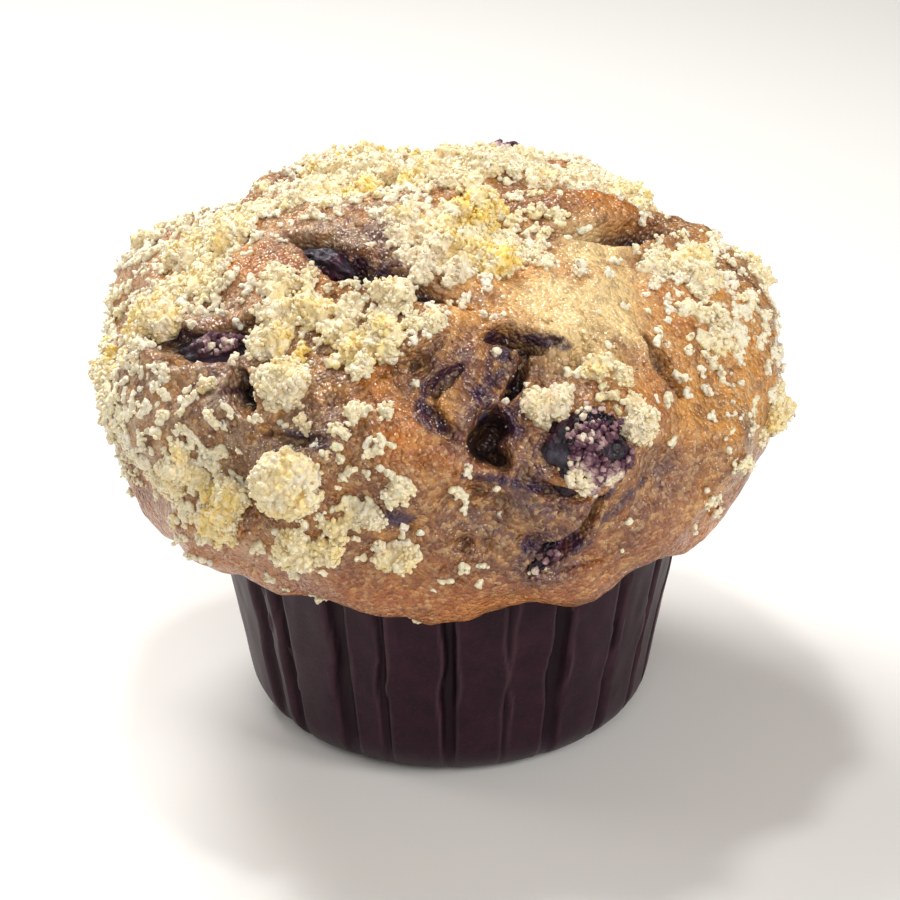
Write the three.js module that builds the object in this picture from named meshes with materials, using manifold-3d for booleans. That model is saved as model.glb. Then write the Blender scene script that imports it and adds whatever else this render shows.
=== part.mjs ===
// A coffee-shop berry muffin with a streusel top, baked in a pleated paper case.
// Millimetres, +Z up. The origin is the centre of the base that it stands on, and -Y is its front.
//
// The cake is one solid: a plain stem inside the case, and a cap that rose over the case's rim.
// Small streusel crumbs are baked onto the cap and belong to that solid. Berries, and streusel
// lumps as large as berries, are solids of their own, each in a socket in the cake.
import * as THREE from "three";
import { mergeVertices } from "three/addons/utils/BufferGeometryUtils.js";
import Module from "manifold-3d";

const wasm = await Module();
wasm.setup();

// ---- Driving dimensions ----
const CASE_CORNER_RADIUS = 26.1; // where the wall's line would meet the table
const CASE_RIM_RADIUS = 31.9;
const CASE_HEIGHT = 31.5;
const CASE_FILLET = 7; // round bottom edge, as the baking tin gives it
const PAPER = 0.4;
const CLEARANCE = 0.35; // between two solids that touch in the real thing

const BERRY_UNEVEN = 0.06; // how much the skin of each topping wanders, as a share of its size
const LUMP_UNEVEN = 0.15;
const CRUMB_UNEVEN = 0.14;

const CAP_RADIUS = 45;
const CAP_WIDEST_Z = 49;
const CAP_TOP_Z = 73;
const CAP_SHIFT_X = -1.5; // the cap leans a little to the left of its case
const LIP_RADIUS = 32.8; // the cap's lowest edge, just outside the paper
const LIP_Z = 29.2;
const LIP_FOLD = 0.4; // how far the cap's hidden underside turns in above its lip
const END_LIFT = 86; // the skin's first and last rings lie this far below and above

const PLEAT_DEPTH = 1.5;
const DEEPEST_VALLEY = 1.15; // of pleat depths, where two panels stand well apart
const PLEAT_AT_FILLET = 0.75; // share of the pleat's depth where the round bottom edge ends
const PLEAT_FULL = 0.45; // share of the wall's height above which the pleats have full depth
const SIDE_PLEATS = 7; // pleats behind each side, beyond the hand-set front ones

const CAP_BEARINGS = 54; // points round each ring of the cake
const CAP_RINGS = 18;
const GROOVE_SIDES = 5; // of a crack's section
const GROOVE_OPEN = 3; // how far a crack's cutter stands above the skin
const GROOVE_TIP = 0.25; // a crack's width at its two ends, as a share of its middle's
const GROOVE_BLUNT = 0.6; // the lower this power, the sooner a crack reaches its full width

const STEM_FOOT_INSET = 2; // the stem's foot keeps clear of the case's round bottom edge
const STEM_BEND_INSET = 1;

const CROWDING = 0.72; // crumbs lie at least this share of their two radii apart
const TOPPING_ROOM = 0.85; // share of a topping's half length that no crumb may enter
const CRUMB_TRIES = 14;
const CRUMB_FLAT = [1, 0.85, 0.75]; // a crumb's half sizes, as shares of its radius
const CRUMB_LIFT = 0.2; // how far a crumb's middle stands above the skin, as a share
const LUMP_LIFT = 0.05;

// Places on the cap are given as [bearing, lift] in degrees: bearing runs round the muffin from its
// front towards its right, and lift runs up the cap from its widest line, 0, to its crown, 90, or
// down to its lip, -90.

// The front pleats, left to right: the bearings between which each ridge's flat panel runs.
const FRONT_PANELS = [
  [-81, -61], [-53, -50], [-45, -32], [-26, -19], [-16, -2.5], [2, 14],
  [16, 26], [32, 45], [49, 60], [63, 71], [74, 82],
];

// Broad swellings and hollows of the cap: where, how far they reach and how high they stand.
const SWELLS = [
  { at: [-115, 37], reach: 9, height: -0.8 },
  { at: [118, 38], reach: 9, height: -2 },
  { at: [84, 62], reach: 7, height: 1.6 },
  { at: [55, 42], reach: 8, height: -1.3 },
  { at: [66, 30], reach: 6, height: 1.4 },
  { at: [-40, 57], reach: 6, height: 1.3 },
  { at: [2, 43], reach: 6, height: 1.5 },
  { at: [30, 24], reach: 6, height: 1.6 },
  { at: [-10, 12], reach: 8, height: 1 },
  { at: [-52, 20], reach: 6, height: 1.1 },
  { at: [-59, -24], reach: 9, height: -2.2 },
  { at: [95, -48], reach: 7, height: 1.8 },
  { at: [-94, 18], reach: 9, height: -1.6 },
  { at: [165, 60], reach: 10, height: -1 },
  { at: [-160, 15], reach: 10, height: -1 },
  { at: [-135, 62], reach: 8, height: -0.8 },
  { at: [-18, -78], reach: 5.5, height: -3.6 },
  { at: [3, -78], reach: 6.5, height: 2.8 },
  { at: [-36, -80], reach: 4.5, height: 1.8 },
  { at: [-51, -80], reach: 5, height: 1.8 },
  { at: [64, -80], reach: 6, height: 1.6 },
  { at: [-160, 55], reach: 5.5, height: -2 },
  { at: [-81, -6], reach: 8, height: -1 },
  { at: [-66, -46], reach: 6, height: -1.2 },
];

// Cracks torn open by the rising cake: the line each follows, its width and its depth.
const CRACKS = [
  { line: [[10, 27], [9, 22], [8, 17], [11, 11]], width: 5.2, depth: 6 },
  { line: [[9, 43], [14, 44], [19, 42], [22, 39]], width: 2.6, depth: 4 },
  { line: [[-60, 60], [-46, 63], [-29, 60], [-14, 57], [4, 52]], width: 4.6, depth: 5 },
  { line: [[52, 67], [64, 62], [77, 55], [88, 47]], width: 3.4, depth: 4 },
  { line: [[-62, 26], [-50, 31], [-43, 38], [-40, 47]], width: 6, depth: 4 },
  { line: [[-39, 30], [-35, 25], [-32, 19]], width: 3.6, depth: 5 },
  { line: [[27, -1], [23, -12], [19, -22], [15, -32]], width: 3.4, depth: 3 },
  { line: [[46, 38], [44, 28], [48, 19]], width: 3, depth: 2.5 },
  { line: [[146, 60], [158, 46], [171, 38], [177, 24]], width: 5, depth: 5 },
  { line: [[-116, 50], [-130, 40], [-141, 27]], width: 5, depth: 4.5 },
];

// Berries: where, half length, half width, half thickness, how far the long side turns from
// level, and how deep the middle lies under the crust.
const BERRIES = [
  { name: "berry_front", at: [24, 13], half: [6.4, 5.6, 4.6], turn: 20, sunk: 1.8 },
  { name: "berry_crack", at: [7, 31], half: [4.6, 2.8, 2.8], turn: 60, sunk: 3.2 },
  { name: "berry_left", at: [-49, 32], half: [6, 2.7, 3.2], turn: 32, sunk: 2.8 },
  { name: "berry_low", at: [18, -28], half: [4, 2.3, 2.6], turn: 50, sunk: 1.8 },
  { name: "berry_crown", at: [-45, 63], half: [5.6, 2.8, 3], turn: 5, sunk: 3.4 },
  { name: "berry_back", at: [164, 43], half: [5.8, 5, 4.4], turn: 40, sunk: 2.6 },
  { name: "berry_back_left", at: [-129, 40], half: [5.4, 3.6, 4], turn: -30, sunk: 3 },
];

// Streusel lumps as large as berries: where, half length, half width, half thickness and turn.
const LUMPS = [
  { name: "lump_round", at: [-23, 4], half: [4.8, 4.2, 3.4], turn: 10 },
  { name: "lump_square", at: [-28, 29], half: [3.9, 3.4, 3], turn: 0 },
  { name: "lump_double", at: [19, 26], half: [3.8, 2.8, 2.8], turn: 15 },
  { name: "lump_right", at: [33, 17], half: [3.2, 2.6, 2.5], turn: 70 },
  { name: "lump_low_left", at: [-36, -14], half: [4.8, 3.7, 3.2], turn: 60 },
  { name: "lump_left", at: [-45, 0], half: [3.2, 2.7, 2.6], turn: 60 },
  { name: "lump_flank", at: [-63, 30], half: [4.7, 3.3, 3], turn: 15 },
  { name: "lump_low", at: [-22, -19], half: [3.1, 2.8, 2.6], turn: 50 },
  { name: "lump_low_right", at: [-6, -21], half: [2.9, 2.5, 2.4], turn: 20 },
  { name: "lump_crown", at: [30, 78], half: [5.2, 4.3, 3.6], turn: 30 },
  { name: "lump_crown_front", at: [19, 64], half: [4.8, 3.8, 3.3], turn: 10 },
  { name: "lump_side", at: [74, -4], half: [3.4, 2.8, 2.5], turn: 60 },
  { name: "lump_back", at: [138, 30], half: [4.2, 3.4, 3], turn: 30 },
  { name: "lump_back_left", at: [-155, 34], half: [4.4, 3.6, 3.2], turn: 0 },
];

// Drifts of streusel: where, how far each spreads, how many crumbs, and their smallest and
// largest radius.
const DRIFTS = [
  { at: [-85, 52], reach: 7, count: 6, radius: [2, 3.2] },
  { at: [-66, 42], reach: 5, count: 4, radius: [1.8, 2.8] },
  { at: [-92, 68], reach: 6, count: 4, radius: [2, 3] },
  { at: [-120, 78], reach: 6, count: 4, radius: [2.1, 3.2] },
  { at: [125, 84], reach: 5, count: 4, radius: [2.2, 3.2] },
  { at: [-10, 74], reach: 5, count: 4, radius: [2.1, 3.2] },
  { at: [-2, 62], reach: 4, count: 3, radius: [2, 2.8] },
  { at: [-36, 47], reach: 5.5, count: 6, radius: [2, 3.3] },
  { at: [-13, 47], reach: 6.5, count: 6, radius: [2, 3.3] },
  { at: [-19, 38], reach: 3.5, count: 2, radius: [1.8, 2.3] },
  { at: [-43, -8], reach: 5, count: 2, radius: [1.8, 2.5] },
  { at: [-13, -13], reach: 5, count: 3, radius: [1.5, 2] },
  { at: [-12, 10], reach: 7, count: 2, radius: [1.5, 2] },
  { at: [30, 28], reach: 3, count: 2, radius: [1.6, 2.1] },
  { at: [73, 44], reach: 5, count: 4, radius: [1.9, 2.8] },
  { at: [60, 33], reach: 4, count: 3, radius: [1.6, 2.2] },
  { at: [110, 70], reach: 5, count: 3, radius: [2, 2.8] },
  { at: [95, 24], reach: 4, count: 2, radius: [1.6, 2.4] },
  { at: [-80, 8], reach: 9, count: 2, radius: [1.6, 2.1] },
  { at: [160, 70], reach: 7, count: 4, radius: [2, 3.1] },
  { at: [116, 54], reach: 6, count: 3, radius: [1.9, 2.8] },
  { at: [-140, 66], reach: 6, count: 4, radius: [2, 3.1] },
  { at: [-112, 26], reach: 6, count: 3, radius: [1.8, 2.7] },
  { at: [-172, 28], reach: 7, count: 2, radius: [1.8, 2.8] },
  { at: [165, 10], reach: 7, count: 2, radius: [1.7, 2.3] },
];

// ---- Small tools ----
const DEGREE = Math.PI / 180;

// Repeatable random numbers from 0 to 1.
function dice(seed) {
  let state = seed;
  return () => {
    state = (state + 0x6d2b79f5) | 0;
    let t = Math.imul(state ^ (state >>> 15), 1 | state);
    t = (t + Math.imul(t ^ (t >>> 7), 61 | t)) ^ t;
    return ((t ^ (t >>> 14)) >>> 0) / 4294967296;
  };
}

const mix = (a, b, share) => a + (b - a) * share;

// A closed geometry through rings of equal point counts, each end closed by a fan. Rings run
// counter-clockwise seen from the last ring's side.
function loft(rings) {
  const count = rings[0].length;
  const centre = (ring) =>
    ring.reduce((sum, p) => sum.add(p), new THREE.Vector3()).divideScalar(count);
  const points = [...rings.flat(), centre(rings[0]), centre(rings.at(-1))];
  const [first, last] = [points.length - 2, points.length - 1];
  const top = (rings.length - 1) * count;
  const faces = [];
  for (let i = 0; i < count; i++) {
    const next = (i + 1) % count;
    faces.push(first, next, i, last, top + i, top + next);
    for (let row = 0; row < top; row += count) {
      faces.push(row + i, row + next, row + count + next);
      faces.push(row + i, row + count + next, row + count + i);
    }
  }
  return new THREE.BufferGeometry().setFromPoints(points).setIndex(faces);
}

function solidOf(geometry) {
  const mesh = { numProp: 3, vertProperties: geometry.attributes.position.array };
  mesh.triVerts = new Uint32Array(geometry.index.array);
  return new wasm.Manifold(new wasm.Mesh(mesh));
}

function geometryOf(solid) {
  const { vertProperties, triVerts } = solid.getMesh();
  const geometry = new THREE.BufferGeometry();
  geometry.setAttribute("position", new THREE.BufferAttribute(vertProperties, 3));
  geometry.setIndex(new THREE.BufferAttribute(triVerts, 1));
  geometry.computeVertexNormals();
  return geometry;
}

// The largest of a solid's separate bodies: scraps that a cut leaves loose are dropped.
const largestBody = (solid) =>
  solid.decompose().reduce((best, body) => (body.volume() > best.volume() ? body : best));

// ---- The cap's skin ----
// A point of the plain cap, an ellipse's quarter above its widest line and another below it.
function plainCap([bearing, lift]) {
  const up = Math.sin(lift * DEGREE);
  const out = Math.cos(lift * DEGREE);
  const radius = lift >= 0 ? CAP_RADIUS * out : mix(LIP_RADIUS, CAP_RADIUS, out);
  const z = CAP_WIDEST_Z + up * (lift >= 0 ? CAP_TOP_Z - CAP_WIDEST_Z : CAP_WIDEST_Z - LIP_Z);
  const turn = bearing * DEGREE;
  return new THREE.Vector3(CAP_SHIFT_X + radius * Math.sin(turn), -radius * Math.cos(turn), z);
}

// The [bearing, lift] of a point near the cap's upper or lower half.
function placeOf(point) {
  const x = point.x - CAP_SHIFT_X;
  const radius = Math.hypot(x, point.y);
  const rise = point.z - CAP_WIDEST_Z;
  const lift = rise >= 0
    ? Math.atan2(rise / (CAP_TOP_Z - CAP_WIDEST_Z), radius / CAP_RADIUS)
    : Math.atan2(rise / (CAP_WIDEST_Z - LIP_Z), (radius - LIP_RADIUS) / (CAP_RADIUS - LIP_RADIUS));
  return [Math.atan2(x, -point.y) / DEGREE, lift / DEGREE];
}

// Level, uphill and outward directions at a place of the cap.
function directions([bearing, lift]) {
  const step = 0.5;
  const turn = bearing * DEGREE;
  const level = new THREE.Vector3(Math.cos(turn), Math.sin(turn), 0);
  const uphill = plainCap([bearing, Math.min(lift + step, 90)])
    .sub(plainCap([bearing, Math.max(lift - step, -90)]))
    .normalize();
  return { level, uphill, outward: level.clone().cross(uphill).normalize() };
}

// Uneven swelling as a sum of plane waves in seeded directions.
function ripple(seed, count, wavelength, height) {
  const roll = dice(seed);
  const waves = Array.from({ length: count }, () => {
    const z = 2 * roll() - 1;
    const turn = 2 * Math.PI * roll();
    const flat = Math.sqrt(1 - z * z);
    const pitch = (2 * Math.PI) / (wavelength * mix(0.75, 1.3, roll()));
    const along = new THREE.Vector3(flat * Math.cos(turn), flat * Math.sin(turn), z);
    return { along: along.multiplyScalar(pitch), phase: 2 * Math.PI * roll() };
  });
  const share = height / Math.sqrt(count);
  return (p) => waves.reduce((sum, w) => sum + share * Math.sin(p.dot(w.along) + w.phase), 0);
}

const broadRipple = ripple(11, 7, 24, 0.9);
const fineRipple = ripple(23, 9, 12, 0.75);
const swellCentres = SWELLS.map((swell) => plainCap(swell.at));

// How far the baked skin stands out from the plain cap at a point of it.
function relief(point) {
  return SWELLS.reduce((sum, swell, i) => {
    const apart = point.distanceTo(swellCentres[i]) / swell.reach;
    return sum + swell.height * Math.exp(-apart * apart);
  }, broadRipple(point) + fineRipple(point));
}

function skin(place) {
  const point = plainCap(place);
  return point.clone().addScaledVector(directions(place).outward, relief(point));
}

// ---- The paper case ----
const WALL_SLOPE = (CASE_RIM_RADIUS - CASE_CORNER_RADIUS) / CASE_HEIGHT;
const FILLET_END = Math.PI / 2 - Math.atan(WALL_SLOPE);
const BASE_RADIUS =
  CASE_CORNER_RADIUS + WALL_SLOPE * CASE_FILLET - CASE_FILLET * Math.hypot(1, WALL_SLOPE);

// The case's outline from its flat base up to its rim, as [radius, z, share of pleat], with the
// round bottom edge drawn through points at the given shares of its bend.
function caseOutline(bendShares) {
  const outline = bendShares.map((share) => {
    const angle = FILLET_END * share;
    return [
      BASE_RADIUS + CASE_FILLET * Math.sin(angle),
      CASE_FILLET * (1 - Math.cos(angle)),
      PLEAT_AT_FILLET * share ** 2,
    ];
  });
  for (const z of [mix(CASE_FILLET, CASE_HEIGHT, PLEAT_FULL), CASE_HEIGHT]) {
    outline.push([CASE_CORNER_RADIUS + WALL_SLOPE * z, z, 1]);
  }
  return outline;
}

// Round the case: each pleat gives the two edges of its ridge panel and the bottom of the valley
// that follows it, as { bearing, valley }.
function pleatEdges() {
  const roll = dice(5);
  const panels = [...FRONT_PANELS];
  const start = FRONT_PANELS.at(-1)[1];
  const hiddenArc = 360 + FRONT_PANELS[0][0] - start;
  const pitch = hiddenArc / (2 * SIDE_PLEATS + 1);
  for (let i = 0; i < 2 * SIDE_PLEATS + 1; i++) {
    const from = start + i * pitch + mix(3, 5, roll());
    panels.push([from, start + (i + 1) * pitch]);
  }
  panels.pop();
  return panels.flatMap(([from, to], i) => {
    const next = i + 1 < panels.length ? panels[i + 1][0] : panels[0][0] + 360;
    const valley = Math.min((next - to) / 4, DEEPEST_VALLEY);
    return [
      { bearing: from, valley: 0 },
      { bearing: to, valley: 0 },
      { bearing: mix(to, next, 0.5), valley },
    ];
  });
}

function caseRing(edges, radius, z, pleat) {
  return edges.map(({ bearing, valley }) => {
    const r = radius - PLEAT_DEPTH * valley * pleat;
    return new THREE.Vector3(r * Math.sin(bearing * DEGREE), -r * Math.cos(bearing * DEGREE), z);
  });
}

function paperCase() {
  const edges = pleatEdges();
  const outside = caseOutline([0, 0.25, 0.55, 1])
    .map(([r, z, pleat]) => caseRing(edges, r, z, pleat));
  const inside = caseOutline([0, 1])
    .map(([r, z, pleat]) => caseRing(edges, r - PAPER, Math.max(z, PAPER), pleat))
    .reverse();
  inside[0].forEach((p) => (p.z = CASE_HEIGHT));
  return solidOf(loft([...outside, ...inside]));
}

// ---- The cake without its toppings ----
function cakeBody() {
  const bearings = Array.from({ length: CAP_BEARINGS }, (_, i) => (360 * i) / CAP_BEARINGS);
  const plainRing = (radius, z) => bearings.map((bearing) => {
    const turn = bearing * DEGREE;
    return new THREE.Vector3(radius * Math.sin(turn), -radius * Math.cos(turn), z);
  });
  const inset = DEEPEST_VALLEY * PLEAT_DEPTH + PAPER + CLEARANCE;
  const stemRadius = (z) => CASE_CORNER_RADIUS + WALL_SLOPE * z - inset;
  const floor = PAPER + CLEARANCE;
  const neck = CASE_HEIGHT + CLEARANCE;
  const overhang = CASE_RIM_RADIUS + CLEARANCE;
  const rings = [
    plainRing(BASE_RADIUS - STEM_FOOT_INSET, floor),
    plainRing(stemRadius(CASE_FILLET) - STEM_BEND_INSET, CASE_FILLET),
    plainRing(stemRadius(neck), neck),
    plainRing(overhang, neck),
    plainRing(overhang, LIP_Z + LIP_FOLD),
  ];
  for (let i = 0; i <= CAP_RINGS; i++) {
    const lift = mix(-END_LIFT, END_LIFT, i / CAP_RINGS);
    rings.push(bearings.map((bearing) => skin([bearing, lift])));
  }
  return solidOf(loft(rings));
}

// A cutter for a crack: a groove of half-round section that tapers to both ends, laid along the
// skin with its open side well above it.
function crackCutter({ line, width, depth }) {
  const curve = new THREE.CatmullRomCurve3(line.map(skin));
  const steps = line.length + 3;
  const rings = [];
  for (let i = 0; i <= steps; i++) {
    const place = placeOf(curve.getPoint(i / steps));
    const middle = skin(place);
    const { outward } = directions(place);
    const side = outward.clone().cross(curve.getTangent(i / steps)).normalize();
    const taper = mix(GROOVE_TIP, 1, Math.sin((Math.PI * i) / steps) ** GROOVE_BLUNT);
    rings.push(Array.from({ length: GROOVE_SIDES }, (_, k) => {
      const angle = (2 * Math.PI * (k + 0.5)) / GROOVE_SIDES;
      const down = Math.sin(angle);
      return middle.clone()
        .addScaledVector(side, (width / 2) * taper * Math.cos(angle))
        .addScaledVector(outward, down * (down < 0 ? depth * taper : GROOVE_OPEN));
    }));
  }
  return solidOf(loft(rings));
}

// ---- Toppings ----
// An egg-shaped blob, its skin uneven by share, seated at a place of the cap and sunk under it.
function blob({ at, half, turn = 0, sunk = 0 }, detail, uneven, seed, grow = 0) {
  const ball = new THREE.IcosahedronGeometry(1, detail);
  ball.deleteAttribute("normal");
  ball.deleteAttribute("uv");
  const geometry = mergeVertices(ball, 1e-4);
  const position = geometry.attributes.position;
  const roll = dice(seed);
  const { level, uphill, outward } = directions(at);
  const along = level.clone().applyAxisAngle(outward, turn * DEGREE);
  const across = uphill.clone().applyAxisAngle(outward, turn * DEGREE);
  const middle = skin(at).addScaledVector(outward, -sunk);
  const unit = new THREE.Vector3();
  for (let i = 0; i < position.count; i++) {
    unit.fromBufferAttribute(position, i);
    const swell = mix(1 - uneven, 1 + uneven, roll());
    const point = middle.clone()
      .addScaledVector(along, unit.x * (half[0] * swell + grow))
      .addScaledVector(across, unit.y * (half[1] * swell + grow))
      .addScaledVector(outward, unit.z * (half[2] * swell + grow));
    position.setXYZ(i, point.x, point.y, point.z);
  }
  return solidOf(geometry);
}

const seatedLump = (lump) => ({ ...lump, sunk: -LUMP_LIFT * lump.half[2] });

// Crumbs of every drift, the largest first, scattered by a seeded rule that spaces them out and
// keeps them off the berries and the large lumps.
function scatterCrumbs() {
  const roll = dice(77);
  const taken = [...BERRIES, ...LUMPS].map(({ at, half }) => ({
    point: plainCap(at),
    radius: TOPPING_ROOM * half[0],
  }));
  const crumbs = [];
  for (const { at, reach, count, radius } of DRIFTS) {
    const centre = plainCap(at);
    const { level, uphill } = directions(at);
    for (let i = 0; i < count; i++) {
      const size = mix(radius[1], radius[0], i / (count - 1));
      for (let attempt = 0; attempt < CRUMB_TRIES; attempt++) {
        const far = reach * Math.sqrt(roll());
        const turn = 2 * Math.PI * roll();
        const near = centre.clone()
          .addScaledVector(level, far * Math.cos(turn))
          .addScaledVector(uphill, far * Math.sin(turn));
        const place = placeOf(near);
        const point = plainCap(place);
        const spin = 180 * roll();
        const crowded = taken.some((t) =>
          t.point.distanceTo(point) < CROWDING * (t.radius + size));
        if (crowded) continue;
        taken.push({ point, radius: size });
        crumbs.push({ at: place, half: CRUMB_FLAT.map((share) => share * size), turn: spin });
        break;
      }
    }
  }
  return crumbs;
}

const crumbBlobs = () =>
  scatterCrumbs().map((crumb, i) =>
    blob({ ...crumb, sunk: -CRUMB_LIFT * crumb.half[2] }, 0, CRUMB_UNEVEN, 300 + i));

// ---- Assembly ----

// Each socketed topping as its solid and the slightly larger socket that it sits in.
function socketed(toppings, detail, uneven, firstSeed) {
  return toppings.map((topping, i) => ({
    name: topping.name,
    solid: blob(topping, detail, uneven, firstSeed + i),
    socket: blob(topping, detail, uneven, firstSeed + i, CLEARANCE),
  }));
}

const berries = socketed(BERRIES, 1, BERRY_UNEVEN, 100);
const lumps = socketed(LUMPS.map(seatedLump), 1, LUMP_UNEVEN, 200);

// Where a lump rests on a berry, the berry gives way to it.
const berrySolids = berries.map(({ name, solid }) => {
  const cut = lumps.reduce((left, lump) => left.subtract(lump.socket), solid);
  return { name, solid: largestBody(cut) };
});

const crumbed = wasm.Manifold.union([cakeBody(), ...crumbBlobs()]);
const cutters = [
  ...CRACKS.map(crackCutter),
  ...berries.map(({ socket }) => socket),
  ...lumps.map(({ socket }) => socket),
];
const cake = largestBody(crumbed.subtract(wasm.Manifold.union(cutters)));

const MATERIALS = {
  cake: new THREE.MeshStandardMaterial({ color: 0xb97f45, roughness: 0.7, metalness: 0 }),
  streusel: new THREE.MeshStandardMaterial({ color: 0xe6d596, roughness: 0.8, metalness: 0 }),
  berry: new THREE.MeshStandardMaterial({ color: 0x3a2238, roughness: 0.35, metalness: 0 }),
  paper: new THREE.MeshStandardMaterial({ color: 0x3c2b2d, roughness: 0.5, metalness: 0 }),
};

const muffin = new THREE.Group();
function addNode(name, solid, material) {
  const mesh = new THREE.Mesh(geometryOf(solid), material);
  mesh.name = name;
  muffin.add(mesh);
}

addNode("cake", cake, MATERIALS.cake);
addNode("paper_case", paperCase(), MATERIALS.paper);
berrySolids.forEach(({ name, solid }) => addNode(name, solid, MATERIALS.berry));
lumps.forEach(({ name, solid }) => addNode(name, solid, MATERIALS.streusel));

export default muffin;
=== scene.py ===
"""A berry muffin with a streusel top in its pleated paper case, dressed for the studio.

Shapes are worked out in millimetres, in the CAD frame: +Z up, the origin at the centre of the
base, and the muffin's front facing -Y. Places on the cap are (bearing, lift) in degrees: bearing
runs round the muffin from its front towards its right, and lift runs up the cap from its widest
line, 0, to its crown, 90, or down to its lip, -90.
"""
import math
from itertools import product

import bmesh
import bpy
import numpy as np
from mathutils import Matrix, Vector
from mathutils.kdtree import KDTree


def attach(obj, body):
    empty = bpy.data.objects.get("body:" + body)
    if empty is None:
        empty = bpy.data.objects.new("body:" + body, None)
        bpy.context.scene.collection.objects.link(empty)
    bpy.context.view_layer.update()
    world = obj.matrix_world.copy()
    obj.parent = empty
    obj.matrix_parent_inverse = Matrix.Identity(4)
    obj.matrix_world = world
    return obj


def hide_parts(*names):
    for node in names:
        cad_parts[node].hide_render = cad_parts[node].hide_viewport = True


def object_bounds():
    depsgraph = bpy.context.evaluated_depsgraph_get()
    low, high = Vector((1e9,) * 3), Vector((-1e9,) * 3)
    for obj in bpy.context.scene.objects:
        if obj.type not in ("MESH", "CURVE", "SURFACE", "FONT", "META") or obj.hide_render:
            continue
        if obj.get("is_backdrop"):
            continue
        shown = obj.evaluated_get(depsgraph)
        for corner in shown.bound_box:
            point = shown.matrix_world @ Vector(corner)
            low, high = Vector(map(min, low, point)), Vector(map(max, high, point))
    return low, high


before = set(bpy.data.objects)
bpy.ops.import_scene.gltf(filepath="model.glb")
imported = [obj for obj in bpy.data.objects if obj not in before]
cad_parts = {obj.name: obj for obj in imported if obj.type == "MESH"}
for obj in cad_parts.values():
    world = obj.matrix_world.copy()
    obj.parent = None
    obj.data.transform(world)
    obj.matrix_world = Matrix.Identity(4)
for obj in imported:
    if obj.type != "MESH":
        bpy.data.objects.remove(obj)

CAD_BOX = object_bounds()
MM = 0.001

# ---- Sizes shared with the solids, in millimetres ----
CASE_CORNER_RADIUS = 26.1
CASE_RIM_RADIUS = 31.9
CASE_HEIGHT = 31.5
CASE_FILLET = 7
PAPER = 0.4
CLEARANCE = 0.35
CRUMB_ROOM = 0.35          # how far the crust lies in, so that its crumbs reach the solids' skin

CAP_RADIUS = 45
CAP_WIDEST_Z = 49
CAP_TOP_Z = 73
CAP_SHIFT_X = -1.5
LIP_RADIUS = 32.8
LIP_Z = 29.2

PLEAT_DEPTH = 1.5
SIDE_PLEATS = 7
# The bearings between which each panel of paper runs, on the side that faces the camera.
FRONT_PANELS = [
    (-81, -61), (-53, -50), (-45, -32), (-26, -19), (-16, -2.5), (2, 14),
    (16, 26), (32, 45), (49, 60), (63, 71), (74, 82),
]

# Broad swellings and hollows: bearing and lift, reach, and height.
SWELLS = [
    (-115, 37, 9, -0.8), (118, 38, 9, -2), (84, 62, 7, 1.6), (55, 42, 8, -1.3), (66, 30, 6, 1.4),
    (-40, 57, 6, 1.3), (2, 43, 6, 1.5), (30, 24, 6, 1.6), (-10, 12, 8, 1), (-52, 20, 6, 1.1),
    (-59, -24, 9, -2.2), (95, -48, 7, 1.8), (-94, 18, 9, -1.6), (165, 60, 10, -1),
    (-160, 15, 10, -1), (-135, 62, 8, -0.8), (-18, -78, 5.5, -3.6), (3, -78, 6.5, 2.8),
    (-36, -80, 4.5, 1.8), (-51, -80, 5, 1.8), (64, -80, 6, 1.6), (-160, 55, 5.5, -2),
    (-81, -6, 8, -1), (-66, -46, 6, -1.2),
]

# Cracks torn open by the rising cake: the line each follows, its width and its depth.
CRACKS = [
    ([(9, 43), (14, 44), (19, 42), (22, 39)], 2.6, 4.6),
    ([(18, 42), (17, 37), (14, 32), (11, 28)], 1.7, 3.6),
    ([(10, 27), (9, 22), (8, 17), (11, 11)], 5.2, 7.5),
    ([(-62, 61), (-46, 63), (-29, 60), (-14, 57), (4, 52)], 4.8, 5.4),
    ([(52, 67), (64, 62), (77, 55), (88, 47)], 3.4, 4.4),
    ([(-62, 26), (-50, 31), (-43, 38), (-40, 47)], 6, 4),
    ([(-39, 30), (-35, 25), (-32, 19)], 3.6, 5),
    ([(27, -1), (23, -12), (19, -22), (15, -32)], 3.4, 3),
    ([(46, 38), (44, 28), (48, 19)], 3, 2.2),
    ([(146, 60), (158, 46), (171, 38), (177, 24)], 5, 5),
    ([(-116, 50), (-130, 40), (-141, 27)], 5, 4.5),
]

# Shallow tears, too fine for the solids: line, width and depth.
TEARS = [
    ([(5, 37), (0, 32), (-2, 27), (1, 22), (6, 18)], 2.4, 2.2),
    ([(14, 43), (20, 42), (26, 40)], 1.6, 2.2),
    ([(-12, 57), (-4, 55), (2, 53), (9, 51)], 2.4, 3.4),
    ([(-30, 63), (-22, 61), (-16, 58)], 2.4, 3),
    ([(13, 8), (18, 3), (26, 1)], 1.8, 1.8),
    ([(-30, 17), (-24, 15), (-17, 17)], 1.6, 1.2),
    ([(-20, 44), (-10, 42), (-2, 44)], 1.6, 1.2),
    ([(-14, 33), (-6, 36), (2, 42)], 1.6, 1.2),
    ([(30, -30), (22, -33), (12, -34)], 1.4, 1),
    ([(88, 36), (84, 27), (86, 17)], 2, 1.6),
    ([(-150, 55), (-163, 48), (-176, 50)], 2.2, 2),
    ([(128, 16), (139, 12), (147, 3)], 2.2, 2),
    ([(-100, 5), (-107, -4), (-118, -8)], 2, 1.5),
]

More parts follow.
